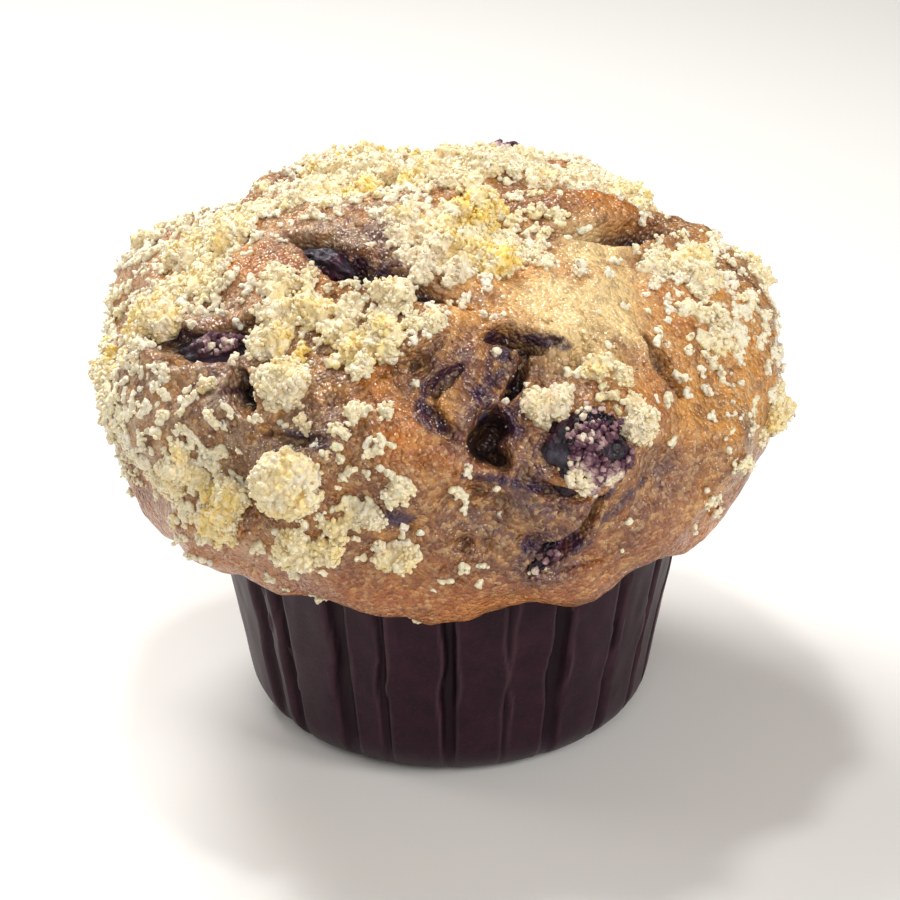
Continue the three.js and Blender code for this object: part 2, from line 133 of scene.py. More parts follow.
# Folds of crust pushed up beside the cracks: line, width and height.
FOLDS = [
    ([(56, 76), (70, 72), (84, 63), (93, 54)], 6, 2.6),
    ([(-66, 55), (-52, 57), (-38, 55), (-22, 51)], 5, 1.3),
    ([(26, 60), (36, 60), (44, 56), (46, 48)], 4, 1.2),
    ([(58, 52), (62, 44), (58, 36)], 4, 1.2),
    ([(-8, 50), (2, 47), (12, 48), (22, 50)], 3.4, 1.0),
    ([(-12, 38), (-4, 40), (4, 43)], 2.6, 0.8),
    ([(18, 10), (26, 4), (34, 5)], 3, 1.0),
    ([(-2, 14), (4, 9), (12, 6)], 3, 0.9),
    ([(150, 64), (164, 50), (178, 42)], 4, 1.3),
    ([(-112, 58), (-126, 48), (-138, 36)], 4, 1.2),
]

# Berries: place, half sizes along, across and out, turn, how deep the middle lies, and whether
# the berry is a cluster of drupelets or a single wrinkled skin.
BERRIES = {
    "berry_front": ((24, 13), (6.4, 5.6, 4.6), 20, 1.8, True),
    "berry_crack": ((7, 31), (4.6, 2.8, 2.8), 60, 3.2, False),
    "berry_left": ((-49, 32), (6, 2.7, 3.2), 32, 2.8, True),
    "berry_low": ((18, -28), (4, 2.3, 2.6), 50, 1.8, False),
    "berry_crown": ((-45, 63), (5.6, 2.8, 3), 5, 3.4, False),
    "berry_back": ((164, 43), (5.8, 5, 4.4), 40, 2.6, True),
    "berry_back_left": ((-129, 40), (5.4, 3.6, 4), -30, 3, False),
}

# Streusel lumps as large as berries: place, half sizes, turn, how many fat granules each is
# pressed from and how yellow the butter left it.
LUMPS = {
    "lump_round": ((-23, 4), (4.8, 4.2, 3.4), 10, 40, 0.35),
    "lump_square": ((-28, 29), (3.9, 3.4, 3), 0, 12, 0.35),
    "lump_double": ((19, 26), (3.8, 2.8, 2.8), 15, 7, 0.3),
    "lump_right": ((33, 17), (3.2, 2.6, 2.5), 70, 7, 0.25),
    "lump_low_left": ((-36, -14), (4.8, 3.7, 3.2), 60, 9, 0.6),
    "lump_left": ((-45, 0), (3.2, 2.7, 2.6), 60, 6, 0.35),
    "lump_flank": ((-63, 30), (4.7, 3.3, 3), 15, 8, 0.7),
    "lump_low": ((-22, -19), (3.1, 2.8, 2.6), 50, 8, 0.3),
    "lump_low_right": ((-6, -21), (2.9, 2.5, 2.4), 20, 7, 0.25),
    "lump_crown": ((30, 78), (5.2, 4.3, 3.6), 30, 9, 1.0),
    "lump_crown_front": ((19, 64), (4.8, 3.8, 3.3), 10, 9, 0.9),
    "lump_side": ((74, -4), (3.4, 2.8, 2.5), 60, 7, 0.5),
    "lump_back": ((138, 30), (4.2, 3.4, 3), 30, 8, 0.5),
    "lump_back_left": ((-155, 34), (4.4, 3.6, 3.2), 0, 8, 0.6),
}

# Drifts of streusel: bearing and lift, reach, how many crumbs the solids hold, and their
# smallest and largest radius.
DRIFTS = [
    (-85, 52, 7, 6, 2, 3.2), (-66, 42, 5, 4, 1.8, 2.8), (-92, 68, 6, 4, 2, 3),
    (-120, 78, 6, 4, 2.1, 3.2), (125, 84, 5, 4, 2.2, 3.2), (-10, 74, 5, 4, 2.1, 3.2),
    (-2, 62, 4, 3, 2, 2.8), (-36, 47, 5.5, 6, 2, 3.3), (-13, 47, 6.5, 6, 2, 3.3),
    (-19, 38, 3.5, 2, 1.8, 2.3), (-43, -8, 5, 2, 1.8, 2.5), (-13, -13, 5, 3, 1.5, 2),
    (-12, 10, 7, 2, 1.5, 2), (30, 28, 3, 2, 1.6, 2.1), (73, 44, 5, 4, 1.9, 2.8),
    (60, 33, 4, 3, 1.6, 2.2), (110, 70, 5, 3, 2, 2.8), (95, 24, 4, 2, 1.6, 2.4),
    (-80, 8, 9, 2, 1.6, 2.1), (160, 70, 7, 4, 2, 3.1), (116, 54, 6, 3, 1.9, 2.8),
    (-140, 66, 6, 4, 2, 3.1), (-112, 26, 6, 3, 1.8, 2.7), (-172, 28, 7, 2, 1.8, 2.8),
    (165, 10, 7, 2, 1.7, 2.3),
]

# Colour that baking left in places, and some painted shade: bearing and lift, and reach.
AMBER = [
    (-35, 57, 5), (-50, 53, 5), (-64, 52, 4), (35, 25, 5), (57, 40, 4.5), (50, 48, 4), (86, 64, 5),
    (30, 58, 5), (-4, 22, 4), (4, 14, 4), (26, 52, 4), (-12, 34, 3), (12, -70, 8), (60, -60, 7),
    (-50, -60, 7), (150, 52, 5), (-150, 45, 6), (120, -50, 9), (-120, -55, 9), (180, -55, 9),
    (-72, 42, 5),
]
RUSSET = [
    (68, 74, 7), (82, 66, 7), (92, 56, 6), (-30, 8, 5), (-42, 10, 5), (-60, 12, 6), (-75, 20, 5),
    (-12, -16, 6), (-30, -8, 5), (6, -14, 7), (30, -22, 6), (56, 4, 5), (-60, -36, 9), (62, -30, 9),
    (170, 10, 8), (-110, 10, 8), (110, 5, 8), (38, 8, 4),
]
CREAM = [(61, 59, 5), (52, 53, 5), (40, 47, 6), (34, 40, 6), (28, 50, 5), (150, 30, 5)]
# Moist crust; the first three spots are painted shade on the crust between the streusel clumps.
MOIST_AND_SHADE = [
    (-30, 47, 6), (-14, 46, 6), (-24, 38, 5), (-8, 64, 6), (-60, 45, 5), (10, 66, 5), (-14, 27, 8),
    (-27, 20, 6), (-8, 39, 5), (22, 38, 6), (9, -8, 7), (13, -24, 6), (31, 37, 5), (-56, 16, 6),
    (3, 10, 5), (-20, 63, 7), (88, 30, 6), (172, 30, 8), (-140, 35, 8), (-170, 5, 8), (120, 20, 8),
]
JUICE = [
    (5, 35, 6), (-15, 66, 7), (-2, 58, 4), (-38, 62, 5), (-7, -6, 4), (14, -24, 5), (-22, 18, 5),
    (-38, 25, 4), (6, 20, 5), (16, 2, 4), (40, -5, 4), (10, -8, 4), (160, 40, 7), (-125, 42, 7),
]
GOLD = [
    (62, 24, 8), (50, 12, 6), (76, 30, 6), (68, 8, 7), (16, 56, 6), (2, 52, 5), (24, 56, 5),
    (60, -12, 7), (-2, 30, 4), (140, 40, 7), (-165, 20, 8), (110, 25, 7),
]

# Streaks of berry juice: the line each follows and its width.
STREAKS = [
    ([(4, 37), (-1, 34), (-3, 29), (-2, 25), (1, 22)], 1.7), ([(13, 39), (11, 34), (8, 29)], 3.2),
    ([(15, 31), (15, 26), (12, 21)], 3), ([(12, 44), (19, 43), (27, 39)], 1.6),
    ([(28, 1), (24, -7), (20, -14)], 2.2), ([(36, -3), (31, -9), (27, -12)], 1.6),
    ([(14, -20), (19, -22), (24, -20)], 1.8), ([(4, 10), (10, 7), (16, 4)], 1.3),
    ([(-40, 62), (-28, 62), (-16, 59), (-2, 53)], 2.6), ([(-58, 30), (-49, 33), (-43, 37)], 2.6),
    ([(-38, 28), (-34, 23)], 2.2), ([(-24, 18), (-18, 17)], 1.6), ([(-10, -3), (-4, -5)], 1.6),
    ([(156, 48), (168, 42), (176, 32)], 2.4),
    ([(-120, 46), (-131, 40), (-138, 32)], 2.4),
]

# Crust that its folding kept free of crumbs, in rows like those.
FOLDED = [(-35, 57, 5), (-50, 54, 5), (-28, 63, 5), (-10, 60, 4), (0, 50, 5), (30, 58, 6)]

# Where the berries' sugar stayed white, and where crumbs fill the gaps between two lumps.
WHITE_SUGAR = [(168, 56, 7), (20, 4, 3.6), (22, 25, 2.6)]
FILLED = [(24, 71, 5), (174, 64, 4)]

# Crumbs that rolled down to the lip.
LIP_CRUMBS = [(-22, -74, 1.6), (-19, -78, 1.2), (-3, -84, 1.2), (-30, -60, 1.0)]

# How coarse each fine skin is, and how many triangles it may have.
CAKE_VOXEL = 0.42
STREUSEL_VOXEL = 0.24
LUMP_VOXEL = 0.22
CAKE_TRIANGLES = 170000
TORN_TRIANGLES = 36000
LUMP_TRIANGLES = 5600
CRUMB_TRIANGLES = 170000
MELTED_TRIANGLES = 140000

NOISE_CELLS = 32           # along each side of a table of noise, after which it repeats
NOISE_SHIFT = 300          # in cells, so that every place counts up from zero


# ---- Repeatable random numbers and noise ----
def dice(seed):
    """Numbers from 0 to 1, the same run as the solids were made with."""
    word = 0xFFFFFFFF
    while True:
        seed = (seed + 0x6D2B79F5) & word
        t = ((seed ^ (seed >> 15)) * (1 | seed)) & word
        t = ((t + (((t ^ (t >> 7)) * (61 | t)) & word)) & word) ^ t
        yield (t ^ (t >> 14)) / (word + 1)


def mix(a, b, share):
    return a + (b - a) * share


def smooth(low, high, values):
    """0 below low, 1 above high, and an even slope between."""
    t = np.clip((values - low) / (high - low), 0, 1)
    return t * t * (3 - 2 * t)


def cloud(points, size, seed):
    """Soft noise from -1 to 1 whose swells are size apart."""
    table = np.random.default_rng(seed).uniform(-1, 1, (NOISE_CELLS,) * 3)
    scaled = points / size + NOISE_SHIFT
    low = np.floor(scaled).astype(int)
    t = scaled - low
    t = t * t * (3 - 2 * t)
    total = np.zeros(len(points))
    for corner in product((0, 1), repeat=3):
        share = np.prod(np.where(corner, t, 1 - t), axis=1)
        total += share * table[tuple(((low + corner) % NOISE_CELLS).T)]
    return total


def grains(points, size, seed):
    """1 at the middle of each round grain, falling to 0 between grains that are size apart."""
    table = np.random.default_rng(seed).uniform(0, 1, (NOISE_CELLS,) * 3 + (3,))
    scaled = points / size + NOISE_SHIFT
    low = np.floor(scaled).astype(int)
    closest = np.full(len(points), 9.0)
    for offset in product((-1, 0, 1), repeat=3):
        cell = low + offset
        apart = cell + table[tuple((cell % NOISE_CELLS).T)] - scaled
        closest = np.minimum(closest, (apart ** 2).sum(axis=1))
    return np.clip(1 - np.sqrt(closest), 0, 1)


# ---- The cap's skin, by the solids' rule ----
def plain_cap(bearing, lift):
    """Points of the plain cap: an ellipse's quarter above its widest line and another below."""
    up = np.sin(np.radians(lift))
    out = np.cos(np.radians(lift))
    turn = np.radians(bearing)
    radius = np.where(lift >= 0, CAP_RADIUS * out, mix(LIP_RADIUS, CAP_RADIUS, out))
    z = CAP_WIDEST_Z + up * np.where(lift >= 0, CAP_TOP_Z - CAP_WIDEST_Z, CAP_WIDEST_Z - LIP_Z)
    return np.stack([CAP_SHIFT_X + radius * np.sin(turn), -radius * np.cos(turn), z], axis=-1)


def place_of(points):
    """The bearing and lift of points near the cap."""
    x = points[:, 0] - CAP_SHIFT_X
    radius = np.hypot(x, points[:, 1])
    rise = points[:, 2] - CAP_WIDEST_Z
    above = np.arctan2(rise / (CAP_TOP_Z - CAP_WIDEST_Z), radius / CAP_RADIUS)
    inward = (radius - LIP_RADIUS) / (CAP_RADIUS - LIP_RADIUS)
    below = np.arctan2(rise / (CAP_WIDEST_Z - LIP_Z), np.maximum(inward, 0.01))
    return np.degrees(np.arctan2(x, -points[:, 1])), np.degrees(np.where(rise >= 0, above, below))


def on_cap(points):
    """Where points lie on the plain cap, and their bearing and lift."""
    bearing, lift = place_of(points)
    return plain_cap(bearing, lift), bearing, lift


def unit(vectors):
    return vectors / np.maximum(np.linalg.norm(vectors, axis=-1, keepdims=True), 1e-9)


def directions(bearing, lift):
    """Level, uphill and outward directions at places of the cap."""
    turn = np.radians(bearing)
    level = np.stack([np.cos(turn), np.sin(turn), np.zeros_like(turn)], axis=-1)
    step = 0.5
    higher = plain_cap(bearing, np.minimum(lift + step, 90))
    uphill = unit(higher - plain_cap(bearing, np.maximum(lift - step, -90)))
    return level, uphill, unit(np.cross(level, uphill))


def ripple(seed, count, wavelength, height):
    """Uneven swelling as a sum of plane waves in seeded directions."""
    roll = dice(seed).__next__
    waves = []
    for _ in range(count):
        z = 2 * roll() - 1
        turn = 2 * math.pi * roll()
        flat = math.sqrt(1 - z * z)
        pitch = 2 * math.pi / (wavelength * mix(0.75, 1.3, roll()))
        along = (flat * math.cos(turn) * pitch, flat * math.sin(turn) * pitch, z * pitch)
        waves.append((*along, 2 * math.pi * roll()))
    waves = np.array(waves)
    share = height / math.sqrt(count)
    return lambda points: share * np.sin(points @ waves[:, :3].T + waves[:, 3]).sum(axis=1)


broad_ripple = ripple(11, 7, 24, 0.9)
fine_ripple = ripple(23, 9, 12, 0.75)


def spot(points, place, reach):
    """A soft round spot of the given reach: 1 at its place and 0 far from it."""
    return np.exp(-((points - plain_cap(*place)) ** 2).sum(axis=-1) / reach ** 2)


def spots(points, places):
    return np.clip(sum(spot(points, place, reach) for *place, reach in places), 0, 1)


def relief(points):
    """How far the baked skin stands out from the plain cap."""
    swells = sum(height * spot(points, place, reach) for *place, reach, height in SWELLS)
    return swells + broad_ripple(points) + fine_ripple(points)


def below_crust(points):
    """How far points lie under the baked skin, were it without its cracks."""
    plain, bearing, lift = on_cap(points)
    outward = directions(bearing, lift)[2]
    return relief(plain) - ((points - plain) * outward).sum(axis=1)


def beside(points, line, reach):
    """Which points can lie within reach of a line on the cap, how far from it each is, and its
    share of the way along it."""
    knots = np.array(line, float)
    share = np.linspace(0, 1, 70)
    steps = np.linspace(0, 1, len(knots))
    curve = plain_cap(*(np.interp(share, steps, knots[:, i]) for i in (0, 1)))
    middle = curve.mean(axis=0)
    reach += np.linalg.norm(curve - middle, axis=1).max()
    near = np.nonzero(((points - middle) ** 2).sum(axis=1) < reach ** 2)[0]
    apart = np.linalg.norm(points[near, None] - curve[None], axis=2)
    return near, apart.min(axis=1), share[apart.argmin(axis=1)]


def fold_rise(points):
    """How far the folds of crust beside the cracks stand up."""
    rise = np.zeros(len(points))
    waver = cloud(points, 5, 33)
    for line, width, height in FOLDS:
        near, apart, way = beside(points, line, 2 * width)
        across = apart / (width / 2) + 0.3 * waver[near]
        taper = np.sin(np.pi * way) ** 0.5
        rise[near] = np.maximum(rise[near], height * taper * np.exp(-across ** 2))
    return rise


def crack_depth(points):
    """How deep the cracks are under points of the plain cap, and how far the torn rims rise."""
    depth = np.zeros(len(points))
    rim = np.zeros(len(points))
    waver = 0.9 * cloud(points, 4.5, 31) + 0.55 * cloud(points, 1.8, 32)
    for line, width, deepest in CRACKS + TEARS:
        near, apart, way = beside(points, line, width + 3)
        taper = 0.25 + 0.75 * np.sin(np.pi * way) ** 0.6
        half = width / 2 * taper
        across = (apart + waver[near] * 0.35 * half) / half
        groove = deepest * taper * np.sqrt(np.clip(1 - across ** 2, 0, 1))
        depth[near] = np.maximum(depth[near], groove)
        rim[near] = np.maximum(rim[near], 0.6 * np.exp(-((across - 1.35) / 0.35) ** 2))
    return depth, rim


# ---- What baking did to each place ----
def juice_streaks(points):
    """1 along the streaks of berry juice, ragged and fading to 0 beside them."""
    stain = np.zeros(len(points))
    ragged = 1.1 * cloud(points, 2.2, 34) + 0.7 * cloud(points, 0.9, 35)
    for line, width in STREAKS:
        near, apart, _ = beside(points, line, 2 * width)
        stain[near] = np.maximum(stain[near], smooth(1.3, 0.5, 2 * apart / width + 0.6 * ragged[near]))
    return stain


def juice_stain(points):
    berries = [(*place, 1.15 * half[0]) for place, half, *_ in BERRIES.values()]
    return spots(points, JUICE + berries)


def sugar_cover(plain, bearing, lift):
    """How thickly fine sugar and waxy crumbs cover the crust: the left flank most of all."""
    left = np.exp(-(((bearing + 68) / 44) ** 2)) * smooth(-50, -20, lift)
    right = 0.45 * np.exp(-(((bearing - 68) / 30) ** 2)) * smooth(-40, -5, lift)
    back = 0.5 * np.exp(-(((np.abs(bearing) - 170) / 45) ** 2)) * smooth(-45, -10, lift)
    top = 0.7 * smooth(38, 62, lift) * smooth(-0.25, 0.45, cloud(plain, 6, 42))
    bare = spots(plain, CREAM) + 0.7 * spot(plain, (32, 35), 9) + 0.5 * spot(plain, (5, 25), 7)
    bare += spots(plain, RUSSET[:3]) + 0.8 * spots(plain, FOLDED)
    patchy = 0.85 + 0.35 * cloud(plain, 7, 41)
    return np.clip((left + right + back + top) * patchy * (1 - 0.9 * np.clip(bare, 0, 1)), 0, 1)


def wax_cover(plain, sugar):
    """Soft crumbs half melted into the sugared crust, in two sizes."""
    coarse, fine = (smooth(0.3, 0.7, grains(plain, *size)) for size in ((2.0, 63), (1.15, 74)))
    return np.clip(1.3 * sugar, 0, 1) * np.clip(coarse + 0.55 * fine, 0, 1)


# ---- Meshes ----
def new_mesh(name, points, faces):
    mesh = bpy.data.meshes.new(name)
    mesh.from_pydata((points * MM).tolist(), [], faces.tolist())
    mesh.shade_smooth()
    return mesh


def new_object(name, data):
    made = bpy.data.objects.new(name, data)
    bpy.context.scene.collection.objects.link(made)
    return made


def add_piece(name, points, faces, nodes, slot, material, **looks):
    """A finished piece on the muffin. looks are numbers for each vertex that its material reads."""
    piece = new_object(name, new_mesh(name, points, faces))
    for look, values in looks.items():
        layer = piece.data.attributes.new(look, "FLOAT", "POINT")
        layer.data.foreach_set("value", np.broadcast_to(values, len(points)).astype(np.float32))
    piece.data.materials.append(material)
    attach(piece, "root")
    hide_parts(*nodes)


def plain_ring(columns, radius, z):
    turn = np.radians(np.linspace(0, 360, columns, endpoint=False))
    return np.stack([radius * np.sin(turn), -radius * np.cos(turn), np.full(columns, z)], axis=1)


def loft(rings):
    """A closed skin through rings of equal point counts, each end closed by a fan."""
    rings = np.asarray(rings, float)
    rows, count = rings.shape[:2]
    points = np.concatenate([rings.reshape(-1, 3), rings[[0, -1]].mean(axis=1)])
    i = np.arange(count)
    j = (i + 1) % count
    centre = np.full(count, rows * count)
    top = (rows - 1) * count
    faces = [(centre, j, i), (centre + 1, top + i, top + j)]
    for row in range(0, top, count):
        above = row + count
        faces += [(row + i, row + j, above + j), (row + i, above + j, above + i)]
    return points, np.concatenate([np.stack(face, axis=1) for face in faces])


def threes(rows, field, kind=np.float32):
    """The three numbers that each of some Blender rows holds in a field."""
    values = np.empty(len(rows) * 3, kind)
    rows.foreach_get(field, values)
    return values.reshape(-1, 3)


def modified(points, faces, kind, hidden=None, **settings):
    """A mesh's points, triangles and normals after one of Blender's modifiers. hidden names the
    points that are out of sight, which a decimation thins out first."""
    rough = new_object("rough", new_mesh("rough", points, faces))
    modifier = rough.modifiers.new("change", kind)
    for name, value in settings.items():
        setattr(modifier, name, value)
    if hidden is not None:
        rough.vertex_groups.new(name="hidden").add(hidden.tolist(), 1, "REPLACE")
        modifier.vertex_group = "hidden"
        modifier.vertex_group_factor = 0.0002
    made = rough.evaluated_get(bpy.context.evaluated_depsgraph_get()).to_mesh()
    made.calc_loop_triangles()
    points, normals = threes(made.vertices, "co") / MM, threes(made.vertices, "normal")
    faces = threes(made.loop_triangles, "vertices", np.int32)
    unchanged = rough.data
    bpy.data.objects.remove(rough)
    bpy.data.meshes.remove(unchanged)
    return points, faces, normals


def voxel_skin(points, faces, voxel, most, jag=None):
    """One skin round a closed or overlapping mesh, in no more than so many triangles. jag says how
    far its points are pushed out."""
    points, faces, normals = modified(points, faces, "REMESH", mode="VOXEL", voxel_size=voxel * MM)
    if jag:
        points = points + normals * jag(points)[:, None]
        hidden = np.nonzero(below_crust(points) > 0.5)[0]
        points, faces, _ = modified(points, faces, "DECIMATE", hidden,
                                    ratio=min(1, most / len(faces)))
    return modified(points, faces, "DECIMATE", ratio=min(1, most / len(faces)))


def areas(points, faces):
    """The share of a skin's area that each of its points stands for."""
    a, b, c = (points[faces[:, i]] for i in range(3))
    area = np.linalg.norm(np.cross(b - a, c - a), axis=1)
    return np.bincount(faces.ravel(), np.repeat(area, 3), len(points))


def sides_of(faces):
    return np.concatenate([faces[:, [0, 1]], faces[:, [1, 2]], faces[:, [2, 0]]])


def crevices(points, faces, normals):
    """How far each point lies in a crevice, 0 on open ground to 1, from its neighbours' places."""
    here, there = sides_of(faces).T
    joined = np.bincount(here, minlength=len(points))[:, None]

    def around(values):
        total = [np.bincount(here, column[there], len(points)) for column in values.T]
        return np.stack(total, axis=1) / np.maximum(joined, 1)

    near = around(points)
    bend = (((near - points) * normals).sum(axis=1))[:, None]
    wide = (((around(around(near)) - points) * normals).sum(axis=1))[:, None]
    # The materials paint shade into the crevices by this amount.
    return smooth(0.0, 0.22, around(around(bend + 0.6 * wide))[:, 0])


def unit_ball(level):
    """Points and triangles of a ball of radius 1."""
    ball = bmesh.new()
    bmesh.ops.create_icosphere(ball, subdivisions=level, radius=1)
    points = np.array([v.co for v in ball.verts])
    faces = np.array([[v.index for v in face.verts] for face in ball.faces])
    ball.free()
    return points, faces


def cube():
    """Points and triangles of a sugar crystal."""
    corners = np.array(list(product((-0.58, 0.58), repeat=3)))
    sides = [(0, 1, 3, 2), (4, 6, 7, 5), (0, 4, 5, 1), (2, 3, 7, 6), (0, 2, 6, 4), (1, 5, 7, 3)]
    return corners, np.array([half for a, b, c, d in sides for half in ((a, b, c), (a, c, d))])


# ---- Placing things on a skin ----
def turned(vectors, axis, degrees):
    """A vector turned about an axis at right angles to it."""
    angle = math.radians(degrees)
    return vectors * math.cos(angle) + np.cross(axis, vectors) * math.sin(angle)


def seat(place, turn, sunk):
    """Where a topping's middle lies, and the directions of its length, width and thickness."""
    plain = plain_cap(*place)
    level, uphill, outward = directions(*place)
    axes = np.stack([turned(level, outward, turn), turned(uphill, outward, turn), outward])
    return plain + outward * relief(plain[None])[0] - outward * sunk, axes


def nearest(points, skin):
    """Which point of a skin is nearest to each of some points."""
    tree = KDTree(len(skin))
    for i, point in enumerate(skin):
        tree.insert(point, i)
    tree.balance()
    return np.array([tree.find(point)[1] for point in points])


def drawn(ground, chance, count, rng):
    """Points of a skin drawn by lot, more of them where chance is high."""
    weight = chance * ground[2]
    return rng.choice(len(weight), count, p=weight / weight.sum())


def pebbles(centres, radii, ball, uneven, rng):
    """Many small uneven balls as one mesh of points and triangles."""
    points, faces = ball
    count = len(centres)
    spin = unit(rng.standard_normal((count, 3, 3)))
    spin[:, 1] = unit(np.cross(spin[:, 0], spin[:, 1]))
    spin[:, 2] = np.cross(spin[:, 0], spin[:, 1])
    stretch = rng.uniform(0.78, 1.2, (count, 1, 3))
    swell = 1 + uneven * rng.standard_normal((count, len(points), 1))
    shaped = (points * stretch * swell) @ spin * radii[:, None, None] + centres[:, None]
    starts = np.arange(count) * len(points)
    return shaped.reshape(-1, 3), (faces + starts[:, None, None]).reshape(-1, 3)


def grown(ground, chance, count, granules, hearts, sizes, climb, sunk, luck):
    """Middles and radii of crumbs grown granule by granule on a skin, then let down onto it. New
    granules stick to the first few, the hearts. sunk is a share of their radius, and luck is a
    seed or random numbers already running."""
    points, normals, _ = ground
    rng = np.random.default_rng(luck)
    seeds = drawn(ground, chance, count, rng)
    up = unit(normals[seeds])
    level = unit(np.cross(up, rng.standard_normal(up.shape)))
    across = np.cross(up, level)
    radii = mix(*sizes, rng.uniform(0, 1, (count, granules)) ** 1.7)
    at = np.repeat(points[seeds][:, None], granules, axis=1)
    rows = np.arange(count)
    for i in range(1, granules):
        parent = rng.integers(0, min(i, hearts), count)
        turn = rng.uniform(0, 2 * math.pi, (count, 1))
        way = level * np.cos(turn) + across * np.sin(turn) + up * rng.normal(climb, 0.3, (count, 1))
        reach = 0.8 * (radii[rows, parent] + radii[:, i])
        at[:, i] = at[rows, parent] + unit(way) * reach[:, None]
    kept = np.arange(granules) < rng.integers(1, granules + 1, (count, 1))
    at, radii = at[kept], radii[kept]
    near = nearest(at, points)
    up = unit(normals[near])
    height = ((at - points[near]) * up).sum(axis=1)
    lowered = np.clip(height, -sunk * radii, (1 - sunk) * radii)
    return at + up * (lowered - height)[:, None], radii


def strewn(ground, chance, count, sizes, sunk, shape, uneven, luck):
    """Small pieces of one shape strewn over a skin, and which point of the skin each lies on. sunk
    and luck are as in grown."""
    points, normals, _ = ground
    rng = np.random.default_rng(luck)
    places = drawn(ground, chance, count, rng)
    radii = mix(*sizes, rng.uniform(0, 1, count) ** 1.5)
    centres = points[places] + unit(normals[places]) * ((1 - sunk) * radii)[:, None]
    return pebbles(centres, radii, shape, uneven, rng), np.repeat(places, len(shape[0]))


# ---- Streusel: clumps of baked granules ----
def crumb_seats():
    """The crumbs that the solids hold, by the same rule: place, radius and turn."""
    roll = dice(77).__next__
    taken = [(plain_cap(*place), 0.85 * half[0])
             for place, half, *_ in [*BERRIES.values(), *LUMPS.values()]]
    crumbs = []
    for *place, reach, count, smallest, largest in DRIFTS:
        centre = plain_cap(*place)
        level, uphill, _ = directions(*place)
        for i in range(count):
            size = mix(largest, smallest, i / (count - 1))
            for _ in range(14):
                far = reach * math.sqrt(roll())
                turn = 2 * math.pi * roll()
                near = centre + level * far * math.cos(turn) + uphill * far * math.sin(turn)
                here = tuple(float(v[0]) for v in place_of(near[None]))
                point = plain_cap(*here)
                spin = 180 * roll()
                if all(np.linalg.norm(t - point) >= 0.72 * (r + size) for t, r in taken):
                    taken.append((point, size))
                    crumbs.append((here, size, spin))
                    break
    return crumbs


def sphere_spots(count):
    """Evenly spread directions."""
    k = np.arange(count) + 0.5
    height = 1 - 2 * k / count
    turn = math.pi * (1 + math.sqrt(5)) * k
    flat = np.sqrt(1 - height ** 2)
    return np.stack([flat * np.cos(turn), flat * np.sin(turn), height], axis=1)


def clump(place, turn, half, fat, granule, rng):
    """Middles and radii of one clump's granules: fat ones pressed together, and small ones that
    stand out jaggedly all over them."""
    middle, axes = seat(place, turn, 0.05 * half[2])
    heart = half.min()
    radii = heart * rng.uniform(0.44, 0.6, fat)
    ways = unit(sphere_spots(fat) + rng.normal(0, 0.25, (fat, 3)))
    at = ways * (half - 0.95 * radii[:, None])
    local, sizes = [at, np.zeros((1, 3))], [radii, [0.6 * heart]]
    for i in range(fat):
        count = int(4 * math.pi * radii[i] ** 2 / (1.7 * granule) ** 2) + 3
        small = at[i] + unit(rng.standard_normal((count, 3))) * radii[i] * 0.97
        apart = np.linalg.norm(small[:, None] - at, axis=2) / radii
        open_air = (apart < 0.9).sum(axis=1) == 0
        local.append(small[open_air])
        sizes.append(granule * rng.uniform(0.55, 1.3, open_air.sum()))
    return middle + np.concatenate(local) @ axes, np.concatenate(sizes)


def jagged(points):
    """How far baked granules and their sugar stand out of a streusel skin."""
    return 0.5 * grains(points, 0.9, 46) + 0.2 * grains(points, 0.5, 47) - 0.28


def streusel_skin(clumps, voxel, most, seed):
    """One skin round all the granules of several clumps, and how deep each point lies in it."""
    centres, radii = map(np.concatenate, zip(*clumps))
    rng = np.random.default_rng(seed)
    points, faces = pebbles(centres, radii, unit_ball(1), 0.16, rng)
    points, faces, normals = voxel_skin(points, faces, voxel, most, jagged)
    return points, faces, normals, crevices(points, faces, normals)


# ---- The cake ----
def cap_rings(columns, rows):
    """The cap's outside as rings from its lip to its crown, cracks, folds and pits included."""
    bearing, lift = np.meshgrid(np.linspace(0, 360, columns, endpoint=False),
                                np.linspace(-89, 89.4, rows))
    bearing, lift = (((bearing + 180) % 360) - 180).ravel(), lift.ravel()
    plain = plain_cap(bearing, lift)
    outward = directions(bearing, lift)[2]
    depth, rim = crack_depth(plain)
    sugar = sugar_cover(plain, bearing, lift)
    rugged = 0.4 + 0.9 * np.clip(spots(plain, MOIST_AND_SHADE) + spots(plain, JUICE), 0, 1)
    folds = 0.8 * (0.45 - np.abs(cloud(plain, 9, 61))) + 0.4 * cloud(plain, 3.8, 62)
    folds += 0.3 * (0.4 - np.abs(cloud(plain, 2.4, 71))) + 0.12 * cloud(plain, 1.3, 72)
    folds = folds * rugged + fold_rise(plain)
    waxy = 0.4 * wax_cover(plain, sugar)
    pits = 0.9 * smooth(0.62, 0.85, grains(plain, 5.5, 64)) * (1 - sugar) * rugged
    crags = 0.7 * smooth(0.3, 3, depth) * (cloud(plain, 1.6, 65) + cloud(plain, 3, 66))
    calm = smooth(-92, -60, lift)
    out = relief(plain) - CRUMB_ROOM - depth + rim + (folds + waxy - pits) * calm + crags
    points = plain + outward * out[:, None]
    points[:, 2] += (1 - calm) * 0.9 * cloud(plain, 3.2, 67)
    sway = np.stack([cloud(points, 2.6, seed) for seed in (68, 69, 70)], axis=1)
    points += sway * (0.25 + 0.5 * smooth(0.2, 2, depth))[:, None]
    return points.reshape(rows, columns, 3)


